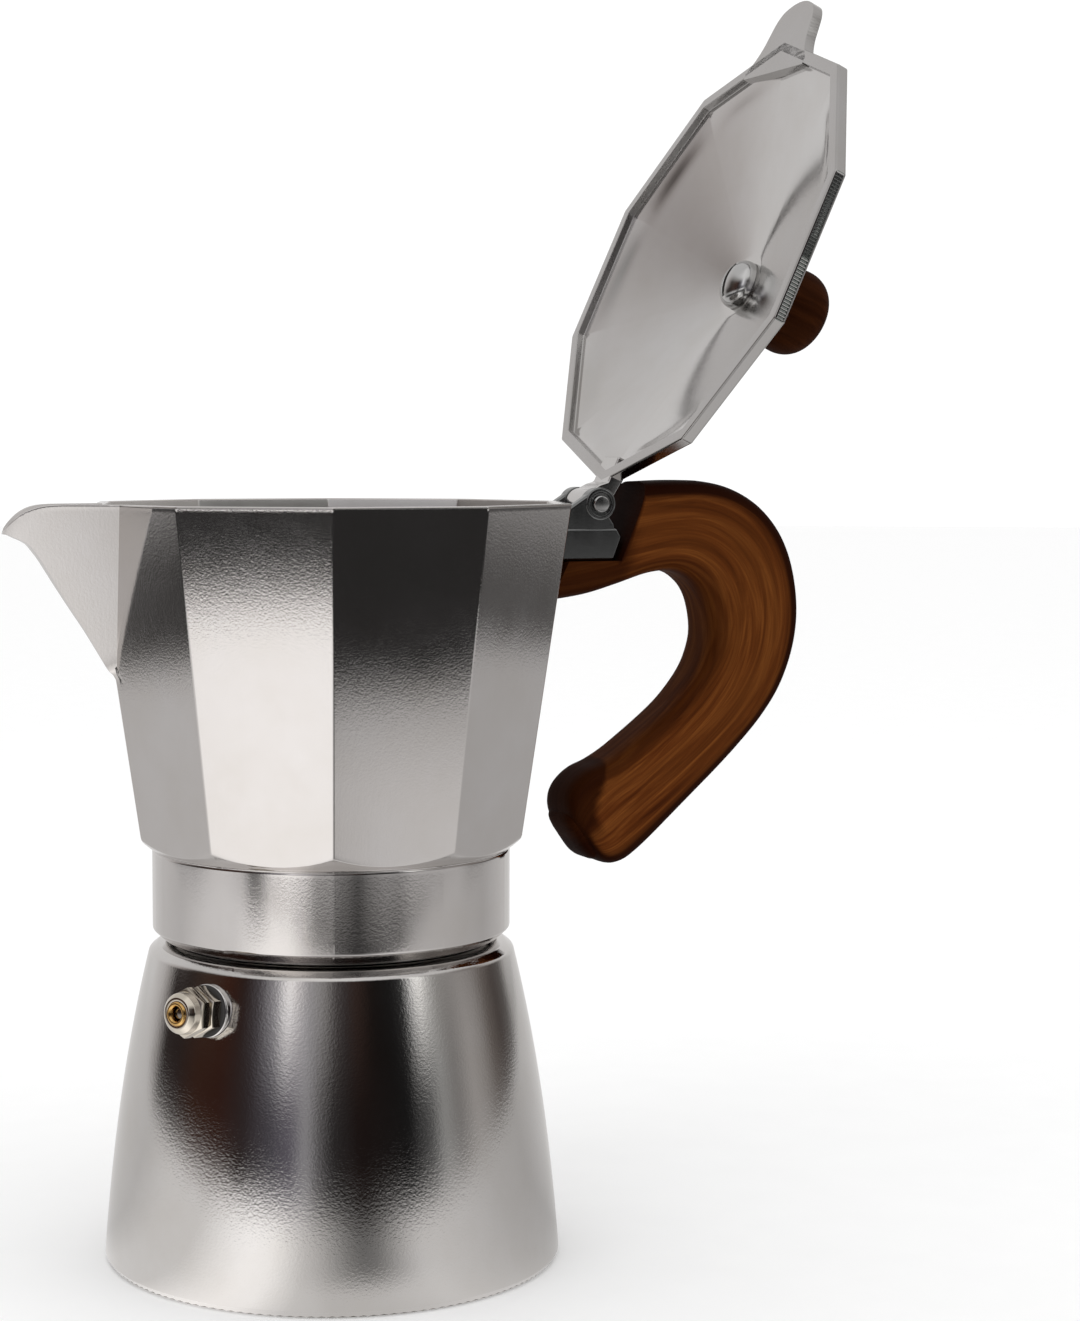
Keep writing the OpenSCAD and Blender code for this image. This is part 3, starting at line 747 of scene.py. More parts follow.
def make_chamber():
    rings = []
    # collar, from the bore outwards
    bot = fillet([(36.75, 76.2), (36.75, 74.0), (37.5, 72.9), (38.0, 72.9), (40.4, 75.1), (40.4, 78)],
                 [0, .3, .3, .35, .8, 0], 3)
    for r, z in bot:
        rings.append(ring_circle(r, z))
    for z in (82, 88, 91.6, 92.3):
        rings.append(ring_circle(40.4, z))
    rings.append(ring_circle(40.38, 92.62))
    rings.append(ring_circle(40.22, 92.78))
    rings.append(ring_circle(40.24, 92.92))
    # flared foot up to the scallops
    zi = foot_profile()
    for w in (0.06, 0.2, 0.4, 0.6, 0.8, 0.9, 0.965):
        z = 92.95 + (zi - 92.95) * w
        r = np.interp(z, FOOT_Z2, FOOT_R2)
        rings.append(np.array([(r[i] * math.cos(a), r[i] * math.sin(a), z[i]) for i, a in enumerate(ANG)]))
    for d in (0.12, 0.45, 1.1):
        z = zi + d
        R = FOOT_R + (RIM_R - FOOT_R) * (z - FOOT_Z) / (RIM_Z - FOOT_Z)
        rings.append(ring_deca(R - (0.06 if d < 0.2 else 0), z))
    for z in np.linspace(99.0, 131.0, 9):
        rings.append(ring_deca(rc(z), z))
    # flats with the spout
    ts = list(np.linspace(0.02, 0.8, 24)) + list(np.linspace(0.82, 0.985, 9))
    for t in ts:
        z = 131.3 + 39.2 * t
        w = smooth((t) / 0.10)
        rings.append(with_spout(ring_deca(rc(z), z), spout_outer(t), w))
    O = with_spout(ring_deca(rc(170.5), 170.5), spout_outer(1.0))
    I = with_spout(ring_deca(rc(170.5) - 2.31, 170.5), spout_inner(1.0))
    d = I - O
    L = np.linalg.norm(d, axis=1)[:, None]
    d = d / np.maximum(L, 1e-6)
    zz = np.array([0, 0, 1.0])
    f = np.minimum(0.35, 0.3 * L)
    O1, O2, O3 = O - zz * f, O + d * 0.29 * f - zz * 0.29 * f, O + d * f
    I3, I2, I1 = I - d * f, I - d * 0.29 * f - zz * 0.29 * f, I - zz * f
    rings += [O1, O2, O3, I3, I2, I1]
    n_out = len(rings) - 3
    # inside
    for t in reversed(list(np.linspace(0.0, 0.96, 26))):
        z = 134.5 + 36.0 * t
        w = smooth(t / 0.12)
        rings.append(with_spout(ring_deca(rc(z) - 2.31, z, F_ROUND * 2), spout_inner(t), w))
    for z in np.linspace(130.0, 102.5, 6):
        rings.append(ring_deca(rc(z) - 2.31, z, F_ROUND * 2))
    ins = fillet([(41.6, 102), (39.6, 97.2), (36.6, 95.2), (26, 95.2)], [0, 3, 3, 0], 4)
    for r, z in ins:
        k = smooth((z - 97.5) / 4.5)
        rings.append(ring_circle(r, z) * (1 - k) + ring_deca(rc(z) - 2.31, z, F_ROUND * 2) * k)
    for r, z in fillet([(20, 95.2), (5.5, 95.2), (5.5, 91.4), (20, 92.35), (27, 90.25), (36.4, 90.2), (36.4, 85.6),
                        (36.75, 85.4)], [0, .2, .2, .4, .4, .3, .2, 0], 2):
        rings.append(ring_circle(r, z))
    n_thread = len(rings)
    for z in np.linspace(85.2, 76.6, 40):
        ph = (z - 75.0) / 2.0
        ring = []
        for a in ANG:
            x = (ph - (a % TAU) / TAU) % 1.0
            tri = abs((x - 0.5) * 2)
            fade = min(max((z - 76.8) / 0.6, 0), 1) * min(max((85.0 - z) / 0.6, 0), 1)
            r = 36.75 + 0.75 * (1 - min(tri * 1.35, 1)) * fade
            ring.append((r * math.cos(a), r * math.sin(a), z))
        rings.append(np.array(ring))
    P = np.array(rings).transpose(1, 0, 2)
    o = grid("chamber_shell", P, M["chamber"], True, True)
    o.data.materials.append(M["inside"])
    o.data.materials.append(M["rim"])
    for p in o.data.polygons:
        c = p.center / MM
        r = math.hypot(c.x, c.y)
        a = math.atan2(c.y, c.x)
        if c.z > 94 and p.normal.z > -0.5:
            rr = (rc(c.z) - 1.2) * deca_k(a, F_ROUND)
            if r < rr and c.z < 170:
                p.material_index = 1
        if c.z < 93 and r < 37.2:
            p.material_index = 1
    sharp_by_angle(o, 50)
    # hinge lug and ears, in the dark hinge metal whose low base colour is painted shade
    parts = [o]
    lug = prism("lug", [(49, 156.8), (66.4, 156.8), (68.5, 162.2), (67.2, 164.3), (56, 164.3), (49, 164.3)],
                -8, 8, M["hinge"], 0.7, 3)
    parts.append(lug)
    for s in (-1, 1):
        y0, y1 = (4.6, 8.0) if s > 0 else (-8.0, -4.6)
        parts.append(prism("ear_web", [(50.5, 160), (67.2, 160), (66.6, 165.2), (64, 169), (60.4, 172.3),
                                       (54, 168.2), (50.5, 168.2)], y0 + 0.25, y1 - 0.25, M["hinge"], 0.6, 3))
        ear = lathe("ear", fillet([(1.72, -1.7), (3.8, -1.7), (3.8, 1.7), (2.75, 1.7), (2.6, 1.35), (1.72, 1.35)],
                                  [.1, .3, .55, .25, .2, .1], 4, closed=True), M["hinge"], 64, closed=True)
        Rm = Matrix.Translation((HX * MM, s * 6.3 * MM, HZ * MM)) @ Matrix.Rotation(-s * 90 * RAD, 4, "X")
        transform(ear, Rm)
        parts.append(ear)
    o = join("chamber_shell", parts)
    weighted(o)
    place(o, "upper", "upper_chamber", "upper_chamber")
    return o


# ---------------------------------------------------------------- lid
def make_lid():
    f = 0.9 / 57
    dt = deca_dt(f)
    ang = []
    p0 = np.array([math.cos(dt), math.sin(dt)]) * deca_k(dt, f)
    p1 = np.array([math.cos(SEC - dt), math.sin(SEC - dt)]) * deca_k(SEC - dt, f)
    tick = []
    for k in range(10):
        ang += [k * SEC - 0.5 * dt, k * SEC, k * SEC + 0.5 * dt]
        tick += [0, 0, 0]
        n_in = 177 if k == 7 else 12
        for i in range(n_in):
            w = i / (n_in - 1)
            p = p0 * (1 - w) + p1 * w
            ang.append(k * SEC + math.atan2(p[1], p[0]))
            tick.append(1 if k == 7 and i % 4 > 1 else 0)
    ang = np.array(ang)
    tick = np.array(tick)
    K = np.array([deca_k(a, f) for a in ang])
    K2 = np.array([deca_k(a, f * 2.2) for a in ang])
    cs, sn = np.cos(ang), np.sin(ang)
    kmid = math.cos(18 * RAD)

    def ring(r, z, kind):
        k = K if kind == "d" else (K2 if kind == "s" else np.ones(len(ang)))
        z = np.broadcast_to(z, (len(ang),))
        return np.stack([r * k * cs, r * k * sn, z], 1)

    def blend(a, b, w):
        return a * (1 - w) + b * w

    rings = []
    # skirt, bottom edge to top edge, then the roof's flat panels
    outer = fillet([(55.4, 170.8), (56.99, 170.8), (56.99, 173.6), (53.5, 174.62)], [0, .45, .5, 0], 4)
    cut = 0
    for r, z in outer:
        if cut == 0 and z > 172:
            # a row of fine ridges is milled across one side of the skirt
            for zz, dd in ((171.32, 0), (171.36, .26), (172.2, .26), (173.06, .26), (173.1, 0)):
                rings.append(ring(56.99 - dd * tick, zz, "d"))
            cut = len(rings)
        rings.append(ring(r, z, "d"))
    for w in np.linspace(0.04, 0.93, 12):
        r = 57 + (7.5 - 57) * w
        z = 173.6 + 14.0 * w
        if r < 53.2:
            k = smooth((w - 0.72) / 0.2)
            rings.append(blend(ring(r, z, "d"), ring(r * 0.975, z, "c"), k))
    for r, z in fillet([(9.5, 186.85), (7.4, 187.55), (2.4, 187.6), (2.2, 187.3), (2.2, 185.2), (2.4, 185.0), (7, 184.95)],
                       [0, .6, .2, .1, .1, .2, 0], 3):
        rings.append(ring(r, z, "c"))
    for w in np.linspace(0.03, 1.0, 30):
        r = 7 + 45.0 * w
        z = 185.0 - (185.0 - 172.72) * w
        # round at the middle, ten-sided with ever tighter corners towards the rim
        t = smooth((w - 0.84) / 0.16)
        rings.append(blend(ring(r, z, "c"), ring(r * (1 + 0.012 * t), z, "s"), t))
    for r, z in fillet([(52.9, 172.68), (53.85, 172.62), (53.9, 170.82), (54.4, 170.8)], [0, .45, .3, 0], 4):
        rings.append(ring(r, z, "s"))
    P = np.array(rings).transpose(1, 0, 2)
    # machined ticks across one side of the skirt
    shell = grid("lid_shell", P, M["lid"], True, True)
    sharp_by_angle(shell, 50)
    for k in ("ticks", "lid_edge", "lid_step"):
        shell.data.materials.append(M[k])
    for q in shell.data.polygons:
        c = q.center / MM
        inward = c.x * q.normal.x + c.y * q.normal.y < -0.3 * math.hypot(c.x, c.y)
        if c.z < 173.5 and math.hypot(c.x, c.y) > 50.5:
            q.material_index = 3 if inward and c.z < 172.75 else (2 if c.z < 171.2 or not inward and c.z > 170.9
                                                                 and abs(q.normal.z) < 0.8 else 0)
        if -54.15 < c.y < -53.6 and 171.3 < c.z < 173.12:
            q.material_index = 1
    parts = [shell]
    # lip over the spout: a plate that runs out of the skirt in two hollow curves
    half = catmull([(-50.6, 14.8), (-53.4, 12.3), (-56.6, 10.6), (-60, 9.75), (-63, 8.9), (-65.4, 7.1),
                    (-66.8, 3.9), (-67.3, 1.4), (-67.36, 0)], 4)
    out = [tuple(p) for p in half] + [(p[0], -p[1]) for p in half[::-1][1:]] + [(-48.8, -14.6), (-48.8, 14.6)]
    lip = prism("lip", out, 170.8, 173.45, M["lid_edge"], 0.45, 3, "xy")
    parts.append(lip)
    # tongue, knuckle and heel
    tongue = prism("tongue", [(50.5, 170.85), (57, 170.8), (58.2, 169.3), (60.2, 167.7), (66.2, 171.6), (65.6, 172.8),
                              (61, 173.6), (56, 174.2), (50.5, 174.5)], -4.3, 4.3, M["lid"], 0.5, 3)
    heel = prism("heel", [(62, 172.6), (66.7, 173.1), (68.1, 170.9), (66, 168)], -4.3, 4.3, M["lid"], 0.5, 3)
    kn = lathe("knuckle", fillet([(1.68, -4.3), (3.6, -4.3), (3.6, 4.3), (1.68, 4.3)], [.15, .4, .4, .15], 3,
                                 closed=True), M["lid"], 64, closed=True)
    transform(kn, Matrix.Translation((HX * MM, 0, HZ * MM)) @ Matrix.Rotation(90 * RAD, 4, "X"))
    parts += [tongue, heel, kn]
    o = join("lid_shell", parts)
    transform(o, LID_M)
    weighted(o)
    place(o, "lid", "lid", "lid")
    return o


# ---------------------------------------------------------------- handle
H_IN = [(50, 147.4), (60, 148.8), (68, 151), (75, 153.2), (80.5, 154), (84.6, 153.2), (88, 150.8), (90.2, 147.6),
        (91.4, 143.5), (91.8, 139), (91, 135), (89.2, 130.8), (86.2, 126.6), (82.5, 122.6), (78, 118.8), (73, 115),
        (68.5, 111.8), (64.5, 109.6), (61, 108.2), (58.3, 106.3), (56.3, 103.8), (55.6, 101), (55.9, 98), (57, 95)]
H_OUT = [(62, 173), (70, 174.6), (77, 175), (84, 175.2), (91, 174.9), (98, 173.2), (104.5, 169.6), (109.5, 164.5),
         (113, 158), (115, 150), (115.4, 142), (114, 134), (110.8, 126), (106, 119), (100.3, 112.8), (94.5, 107.2),
         (88.5, 101.8), (82.5, 96.4), (77.5, 91.9), (73.5, 88.6), (70, 86.4), (66.5, 85.8), (63.5, 87), (60.5, 90)]


def add_attr(o, name, vals, kind="FLOAT_VECTOR"):
    a = o.data.attributes.new(name, kind, "POINT")
    a.data.foreach_set("vector" if kind == "FLOAT_VECTOR" else "value", np.asarray(vals, np.float32).ravel())


def make_handle():
    A, B = catmull(H_IN, 5)[:-5], catmull(H_OUT, 5)[:-5]
    n, m = len(A), 48
    P = np.zeros((n, m, 3))
    for k in range(n):
        a, b = A[k], B[k]
        c, h = (a + b) / 2, (b - a) / 2
        # the tail closes in a round end
        e = (n - 1 - k) / 9.0
        ty = 9.5 * (1 if e > 1 else math.sqrt(max(1 - (1 - e) ** 2, 0.0)) * 0.2 + 0.8)
        for j in range(m):
            u = TAU * (j + 0.5) / m
            cu, su = math.cos(u), math.sin(u)
            s = math.copysign(abs(cu) ** 0.5, cu)
            y = ty * math.copysign(abs(su) ** 0.5, su)
            q = c + h * s
            P[k, j] = (q[0], y, q[1])
    V = [tuple(v) for v in (P.reshape(-1, 3) * MM)]
    F = []
    for k in range(n - 1):
        for j in range(m):
            q = (j + 1) % m
            F.append((k * m + j, (k + 1) * m + j, (k + 1) * m + q, k * m + q))
    # rounded cap on the tail, flat face inside the pot end
    last = P[-1]
    cen = last.mean(0)
    q = B[-1] - A[-1]
    d = np.array([q[1], 0, -q[0]]) / np.linalg.norm(q)
    base = (n - 1) * m
    prev = base
    for w, out_ in [(math.cos(t * RAD) ** 0.7, 2.0 * math.sin(t * RAD)) for t in (12, 24, 36, 48, 60, 72, 82)]:
        start = len(V)
        for j in range(m):
            p = cen + (last[j] - cen) * w + d * out_
            V.append(tuple(p * MM))
        for j in range(m):
            q = (j + 1) % m
            F.append((prev + j, start + j, start + q, prev + q))
        prev = start
    F.append(tuple(prev + j for j in range(m)))
    F.append(tuple(reversed(range(m))))
    o = new_obj("handle_grip", V, F, M["handle"])
    cut1 = prism("c1", [(20, 156.7), (67.6, 156.7), (74.7, 174.4), (76, 190), (20, 190)], -20, 20, None, 0)
    z0, z1 = 130, 180
    vv = []
    for z in (z0, z1):
        for k in range(10):
            r = rc(z) + 0.12
            vv.append((r * math.cos(k * SEC), r * math.sin(k * SEC), z))
    ff = [tuple(range(10)), tuple(range(19, 9, -1))] + [(k, (k + 1) % 10, 10 + (k + 1) % 10, 10 + k) for k in range(10)]
    cut2 = new_obj("c2", np.array(vv) * MM, ff)
    c3 = lathe("c3", [(0, 140), (4.2, 140), (4.2, 151.4), (3.2, 151.4), (3.2, 175), (0, 175)], None, 48)
    transform(c3, Matrix.Translation((60 * MM, 0, 0)))
    carve(o, [cut1, cut2, c3])
    # softened edges along the cuts
    bm = bmesh.new()
    bm.from_mesh(o.data)
    bmesh.ops.remove_doubles(bm, verts=bm.verts, dist=2e-5)
    bm.to_mesh(o.data)
    bm.free()
    sharp_by_angle(o, 42)
    # grain coordinates along the curve
    mid = (A + B) / 2
    cen3 = catmull(list(map(tuple, mid)), 4)
    seg = np.r_[0, np.cumsum(np.linalg.norm(np.diff(cen3, axis=0), axis=1))]
    idx = np.linspace(0, n - 1, len(cen3))
    co = np.array([v.co for v in o.data.vertices]) / MM
    g = np.zeros((len(co), 3))
    e = np.zeros(len(co))
    Ai = np.stack([np.interp(idx, range(n), A[:, i]) for i in (0, 1)], 1)
    Bi = np.stack([np.interp(idx, range(n), B[:, i]) for i in (0, 1)], 1)
    for i, p in enumerate(co):
        q = np.array([p[0], p[2]])
        dd = ((cen3 - q) ** 2).sum(1)
        # the station whose cross line is nearest
        h = Bi - Ai
        hl = np.linalg.norm(h, axis=1)
        nrm = np.stack([-h[:, 1], h[:, 0]], 1) / hl[:, None]
        off = np.abs(((q - Ai) * nrm).sum(1)) + 0.02 * np.sqrt(dd)
        k = int(np.argmin(off + np.where(dd > 30 ** 2, 1e3, 0)))
        u = float(((q - Ai[k]) @ h[k]) / hl[k] ** 2)
        g[i] = (seg[k], (u - 0.5) * 26.0, p[1])
        # EDGE is painted shade: near-black on the outer rounded face away from the lit side faces, 0.45 of that on the
        # inner rounded face, darker towards the hinge end, black on the cut face of the notch and 0.9 on the tail's end
        # cap
        uu = abs(u - 0.5) * 2
        side = smooth((abs(p[1]) - 8.55) / 0.75)
        lim_out = 0.86 if u > 0.5 else 0.9
        if u > 0.5:
            lim_out = 0.66 + 0.26 * smooth((seg[k] - 34) / 16)
            edge = max(1 - side, smooth((uu - lim_out) / 0.07))
        else:
            edge = 0.45 * max(1 - side, smooth((uu - lim_out) / 0.07))
        if p[0] < 73 and p[2] > 130:
            edge = max(edge, 0.75 * smooth((73 - p[0]) / 5))
        if p[2] > 156.5 and abs((p[0] - 67.6) * 0.928 - (p[2] - 156.7) * 0.372) < 0.2:
            edge = 1.0
        tail = 0.9 * smooth((61.6 + 0.42 * max(p[2] - 100, 0) - p[0] + 0.8) / 1.6) if p[2] < 119 else 0.0
        e[i] = max(edge, tail)
    add_attr(o, "grain", g)
    add_attr(o, "edge", e, "FLOAT")
    weighted(o)
    place(o, "upper", "handle", "handle")
    return o


# ---------------------------------------------------------------- knob
def make_knob():
    z0 = 188.6
    pts = []
    for a in np.arange(-45, 91, 3.0):
        r = 10.4 * max(math.cos(a * RAD), 0) ** 0.72
        z = z0 + 10.4 + (10.2 if a < 0 else 7.59) * math.sin(a * RAD)
        pts.append((r, z))
    neck = fillet([(0, z0 + 0.05), (6.3, z0 + 0.05), (7.0, z0 + 1.6), (8.0, z0 + 2.95)], [0, .4, 1.2, 0], 4)
    prof = [(0, z0 + 10), (3.2, z0 + 10), (3.2, z0 + 0.3), (3.4, z0 + 0.06)] + [tuple(p) for p in neck[1:-1]] + \
        [p for p in pts if p[1] > z0 + 3.2]
    o = lathe("knob_grip", prof, M["knob"], 96)
    co = np.array([v.co for v in o.data.vertices]) / MM
    g = np.stack([co[:, 2] * 1.0, co[:, 0] * 0.9, co[:, 1] * 0.9], 1)
    add_attr(o, "grain", g)
    add_attr(o, "edge", np.zeros(len(co)), "FLOAT")
    sharp_by_angle(o, 50)
    transform(o, LID_M)
    place(o, "lid", "knob", "knob")
    ins = lathe("insert_knob", fillet([(2.02, z0), (3.19, z0), (3.19, z0 + 10), (2.02, z0 + 10)],
                                      [.15] * 4, 2, closed=True), M["brass"], 48, closed=True)
    transform(ins, LID_M)
    place(ins, "lid", "knob_insert", "knob_insert")
    w = lathe("washer_knob", fillet([(2.2, 187.6), (6.8, 187.6), (6.8, 188.6), (2.2, 188.6)], [.15, .3, .3, .15], 3,
                                    closed=True), M["nickel"], 96, closed=True)
    transform(w, LID_M)
    sharp_by_angle(w, 50)
    weighted(w)
    place(w, "lid", "knob_washer", "knob_washer")
    # dome-headed screw
    uz = 185.0 - 0.2
    dome = [(0, uz - 4.6)]
    for a in np.arange(84, -1, -6):
        dome.append((6 * math.cos(a * RAD), uz - 0.6 - 4 * math.sin(a * RAD)))
    prof = dome + [(6.0, uz - 0.1), (5.8, uz + 0.18), (2.0, uz + 0.2), (2.0, 197), (1.6, 197.6), (0, 197.6)]
    s = lathe("screw_knob", prof, M["steel"], 96)
    slot_ = prism("slotcut", [(-7, uz - 5.8), (7, uz - 5.8), (7, uz - 3.3), (-7, uz - 3.3)], -0.6, 0.6, None, 0)
    carve(s, [slot_])
    sharp_by_angle(s, 34)
    weighted(s)
    transform(s, LID_M)
    place(s, "lid", "knob_screw", "knob_screw")


# ---------------------------------------------------------------- safety valve
def hex_k(a):
    d = (a / (60 * RAD)) % 1.0
    d = d * 60 * RAD
    return math.cos(30 * RAD) / math.cos(d - 30 * RAD)


def hex_part(name, af, r_in, z0, z1, mat, ch=0.35, top=True, bottom=False, rot=0.0, more=None):
    """Hexagon with turned chamfers, as one revolved grid whose radius is capped by a cone."""
    R = af / math.sqrt(3)
    n = 192
    th = np.arange(n) * TAU / n
    K = np.array([hex_k(a) for a in th])
    rings = []

    def add(rad, z):
        rad = np.broadcast_to(rad, (n,))
        z = np.broadcast_to(z, (n,))
        rings.append(np.stack([rad * np.cos(th + rot), rad * np.sin(th + rot), z], 1))

    rh = R * K
    apo = af / 2

    def zcap(sign, z):
        # a 30 degree turned chamfer takes the corners off
        return z - sign * np.clip(rh - (apo - 0.15), 0, None) * 0.5

    add(r_in, z0 + 0.12)
    add(r_in + 0.12, z0)
    if bottom:
        add(apo - 0.3, z0)
        add(np.minimum(rh, apo - 0.15), zcap(-1, z0) * 0 + z0 + 0.02)
        add(rh - 0.03, zcap(-1, z0))
        add(rh, zcap(-1, z0) + 0.12)
    else:
        add(rh - 0.3, z0)
        add(rh - 0.06, z0 + 0.03)
        add(rh, z0 + 0.12)
    add(rh, (z0 + z1) / 2)
    if top:
        add(rh, zcap(1, z1) - 0.12)
        add(rh - 0.03, zcap(1, z1))
        add(np.minimum(rh, apo - 0.15), z1 - 0.02)
        add(apo - 0.3, z1)
    else:
        add(rh, z1 - 0.12)
        add(rh - 0.06, z1 - 0.03)
        add(rh - 0.3, z1)
    if more is not None:
        for r, z in more:
            add(r, z)
    else:
        add(r_in + 0.12, z1)
        add(r_in, z1 - 0.12)
    P = np.array(rings).transpose(1, 0, 2)
    o = grid(name, P, mat, True, True)
    sharp_by_angle(o, 28)
    weighted(o)
    return o


def make_valve():
    b = hex_part("valve_base", 9.6, 2.7, 1.5, 4.5, M["nickel"], rot=0)
    sh = lathe("shank", [(1.2, -7), (3.7, -7), (4.0, -6.7)] +
               [(4.0 - 0.22 * (k % 2), -6.5 + 0.4 * k) for k in range(0, 19)] + [(4.0, 1.52), (2.75, 1.52), (2.7, 1.4),
               (2.7, -5.6), (2.6, -5.8), (1.2, -5.8)], M["nickel"], 64, closed=True)
    sharp_by_angle(sh, 60)
    b = join("valve_base", [b, sh])
    transform(b, VALVE_M)
    place(b, "boiler", "valve_body", "valve_body")
    g = lathe("valve_washer", fillet([(4.1, .7), (5.6, .7), (5.6, 1.5), (4.1, 1.5)], [.1, .25, .25, .1], 3, closed=True),
              M["seal_red"], 64, closed=True)
    transform(g, VALVE_M)
    place(g, "boiler", "valve_gasket", "valve_gasket")
    nut = hex_part("valve_locknut", 9.6, 4.02, -6.6, -4.2, M["nickel"], bottom=True, rot=30 * RAD)
    transform(nut, VALVE_M)
    place(nut, "boiler", "valve_nut", "valve_nut")
    more = [tuple(p) for p in fillet([(4.62, 7.8), (4.6, 7.85), (4.45, 8.8), (4.35, 9.4), (3.4, 10.3), (2.7, 10.3),
                                      (2.6, 10.1), (2.6, 4.62)], [0, .1, .6, .5, .35, .1, .1, 0], 3)]
    cap = hex_part("valve_capnut", 9.4, 2.6, 4.9, 7.8, M["nickel"], bottom=True, more=more)
    neck = lathe("neck", [(2.62, 4.5), (4.5, 4.5), (4.5, 5.0), (2.62, 5.0)], M["nickel"], 64, closed=True)
    cap = join("valve_capnut", [cap, neck])
    transform(cap, VALVE_M)
    place(cap, "boiler", "valve_cap", "valve_cap")
    bu = lathe("valve_ring", fillet([(1.5, 7.4), (2.59, 7.4), (2.59, 10.4), (2.3, 10.8), (1.85, 10.8), (1.5, 10.4)],
                                    [.1, .1, .2, .2, .2, .2], 3, closed=True), M["brass"], 64, closed=True)
    transform(bu, VALVE_M)
    place(bu, "boiler", "valve_bush", "valve_bush")
    rod = lathe("valve_stem", fillet([(0, -5.75), (2.4, -5.75), (2.4, -4.7), (1.25, -4.6), (1.25, 9.2), (1.05, 9.5),
                                      (0, 9.58)], [0, .25, .25, .2, .15, .15, 0], 3), M["steel_dark"], 48)
    sharp_by_angle(rod, 50)
    transform(rod, VALVE_M)
    place(rod, "plunger", "valve_plunger", "valve_plunger")
    path = [(1.9 * math.cos(a), 1.9 * math.sin(a), -4.0 + 9.8 * a / (7 * TAU)) for a in np.linspace(0, 7 * TAU, 7 * 28)]
    sp = tube("valve_coil", path, 0.3, M["spring"], 10)
    transform(sp, VALVE_M)
    place(sp, "plunger", "valve_spring", "valve_spring")


M["steel_dark"] = metal("plunger_steel", (0.28, 0.26, 0.24), 0.2, 0.05, 900, 2e-6, 0.2)


# ---------------------------------------------------------------- funnel, seal and plates
def perforated(name, r, z0, z1, holes, hr, mat, r_in=0.0, hole_n=20):
    """Round plate with drilled holes, filled between the circles."""
    cu = bpy.data.curves.new(name, "CURVE")
    cu.dimensions = "2D"
    cu.fill_mode = "BOTH"
    cu.extrude = (z1 - z0) / 2 * MM

    def circle(cx, cy, rr, n):
        s = cu.splines.new("POLY")
        s.points.add(n - 1)
        for i in range(n):
            a = TAU * i / n
            s.points[i].co = ((cx + rr * math.cos(a)) * MM, (cy + rr * math.sin(a)) * MM, 0, 1)
        s.use_cyclic_u = True

    circle(0, 0, r, 144)
    for x, y in holes:
        circle(x, y, hr, hole_n)
    ob = bpy.data.objects.new(name, cu)
    bpy.context.scene.collection.objects.link(ob)
    dg = bpy.context.evaluated_depsgraph_get()
    me = bpy.data.meshes.new_from_object(ob.evaluated_get(dg))
    bpy.data.objects.remove(ob)
    bm = bmesh.new()
    bm.from_mesh(me)
    bmesh.ops.remove_doubles(bm, verts=bm.verts, dist=1e-6)
    bmesh.ops.recalc_face_normals(bm, faces=bm.faces)
    bm.to_mesh(me)
    bm.free()
    me.transform(Matrix.Translation((0, 0, (z0 + z1) / 2 * MM)))
    me.materials.append(mat)
    o = bpy.data.objects.new(name, me)
    bpy.context.scene.collection.objects.link(o)
    sharp_by_angle(o, 40)
    return o


def hole_rings(step, n, first=6):
    return [(k * step * math.cos(TAU * i / (first * k)), k * step * math.sin(TAU * i / (first * k)))
            for k in range(1, n + 1) for i in range(first * k)]


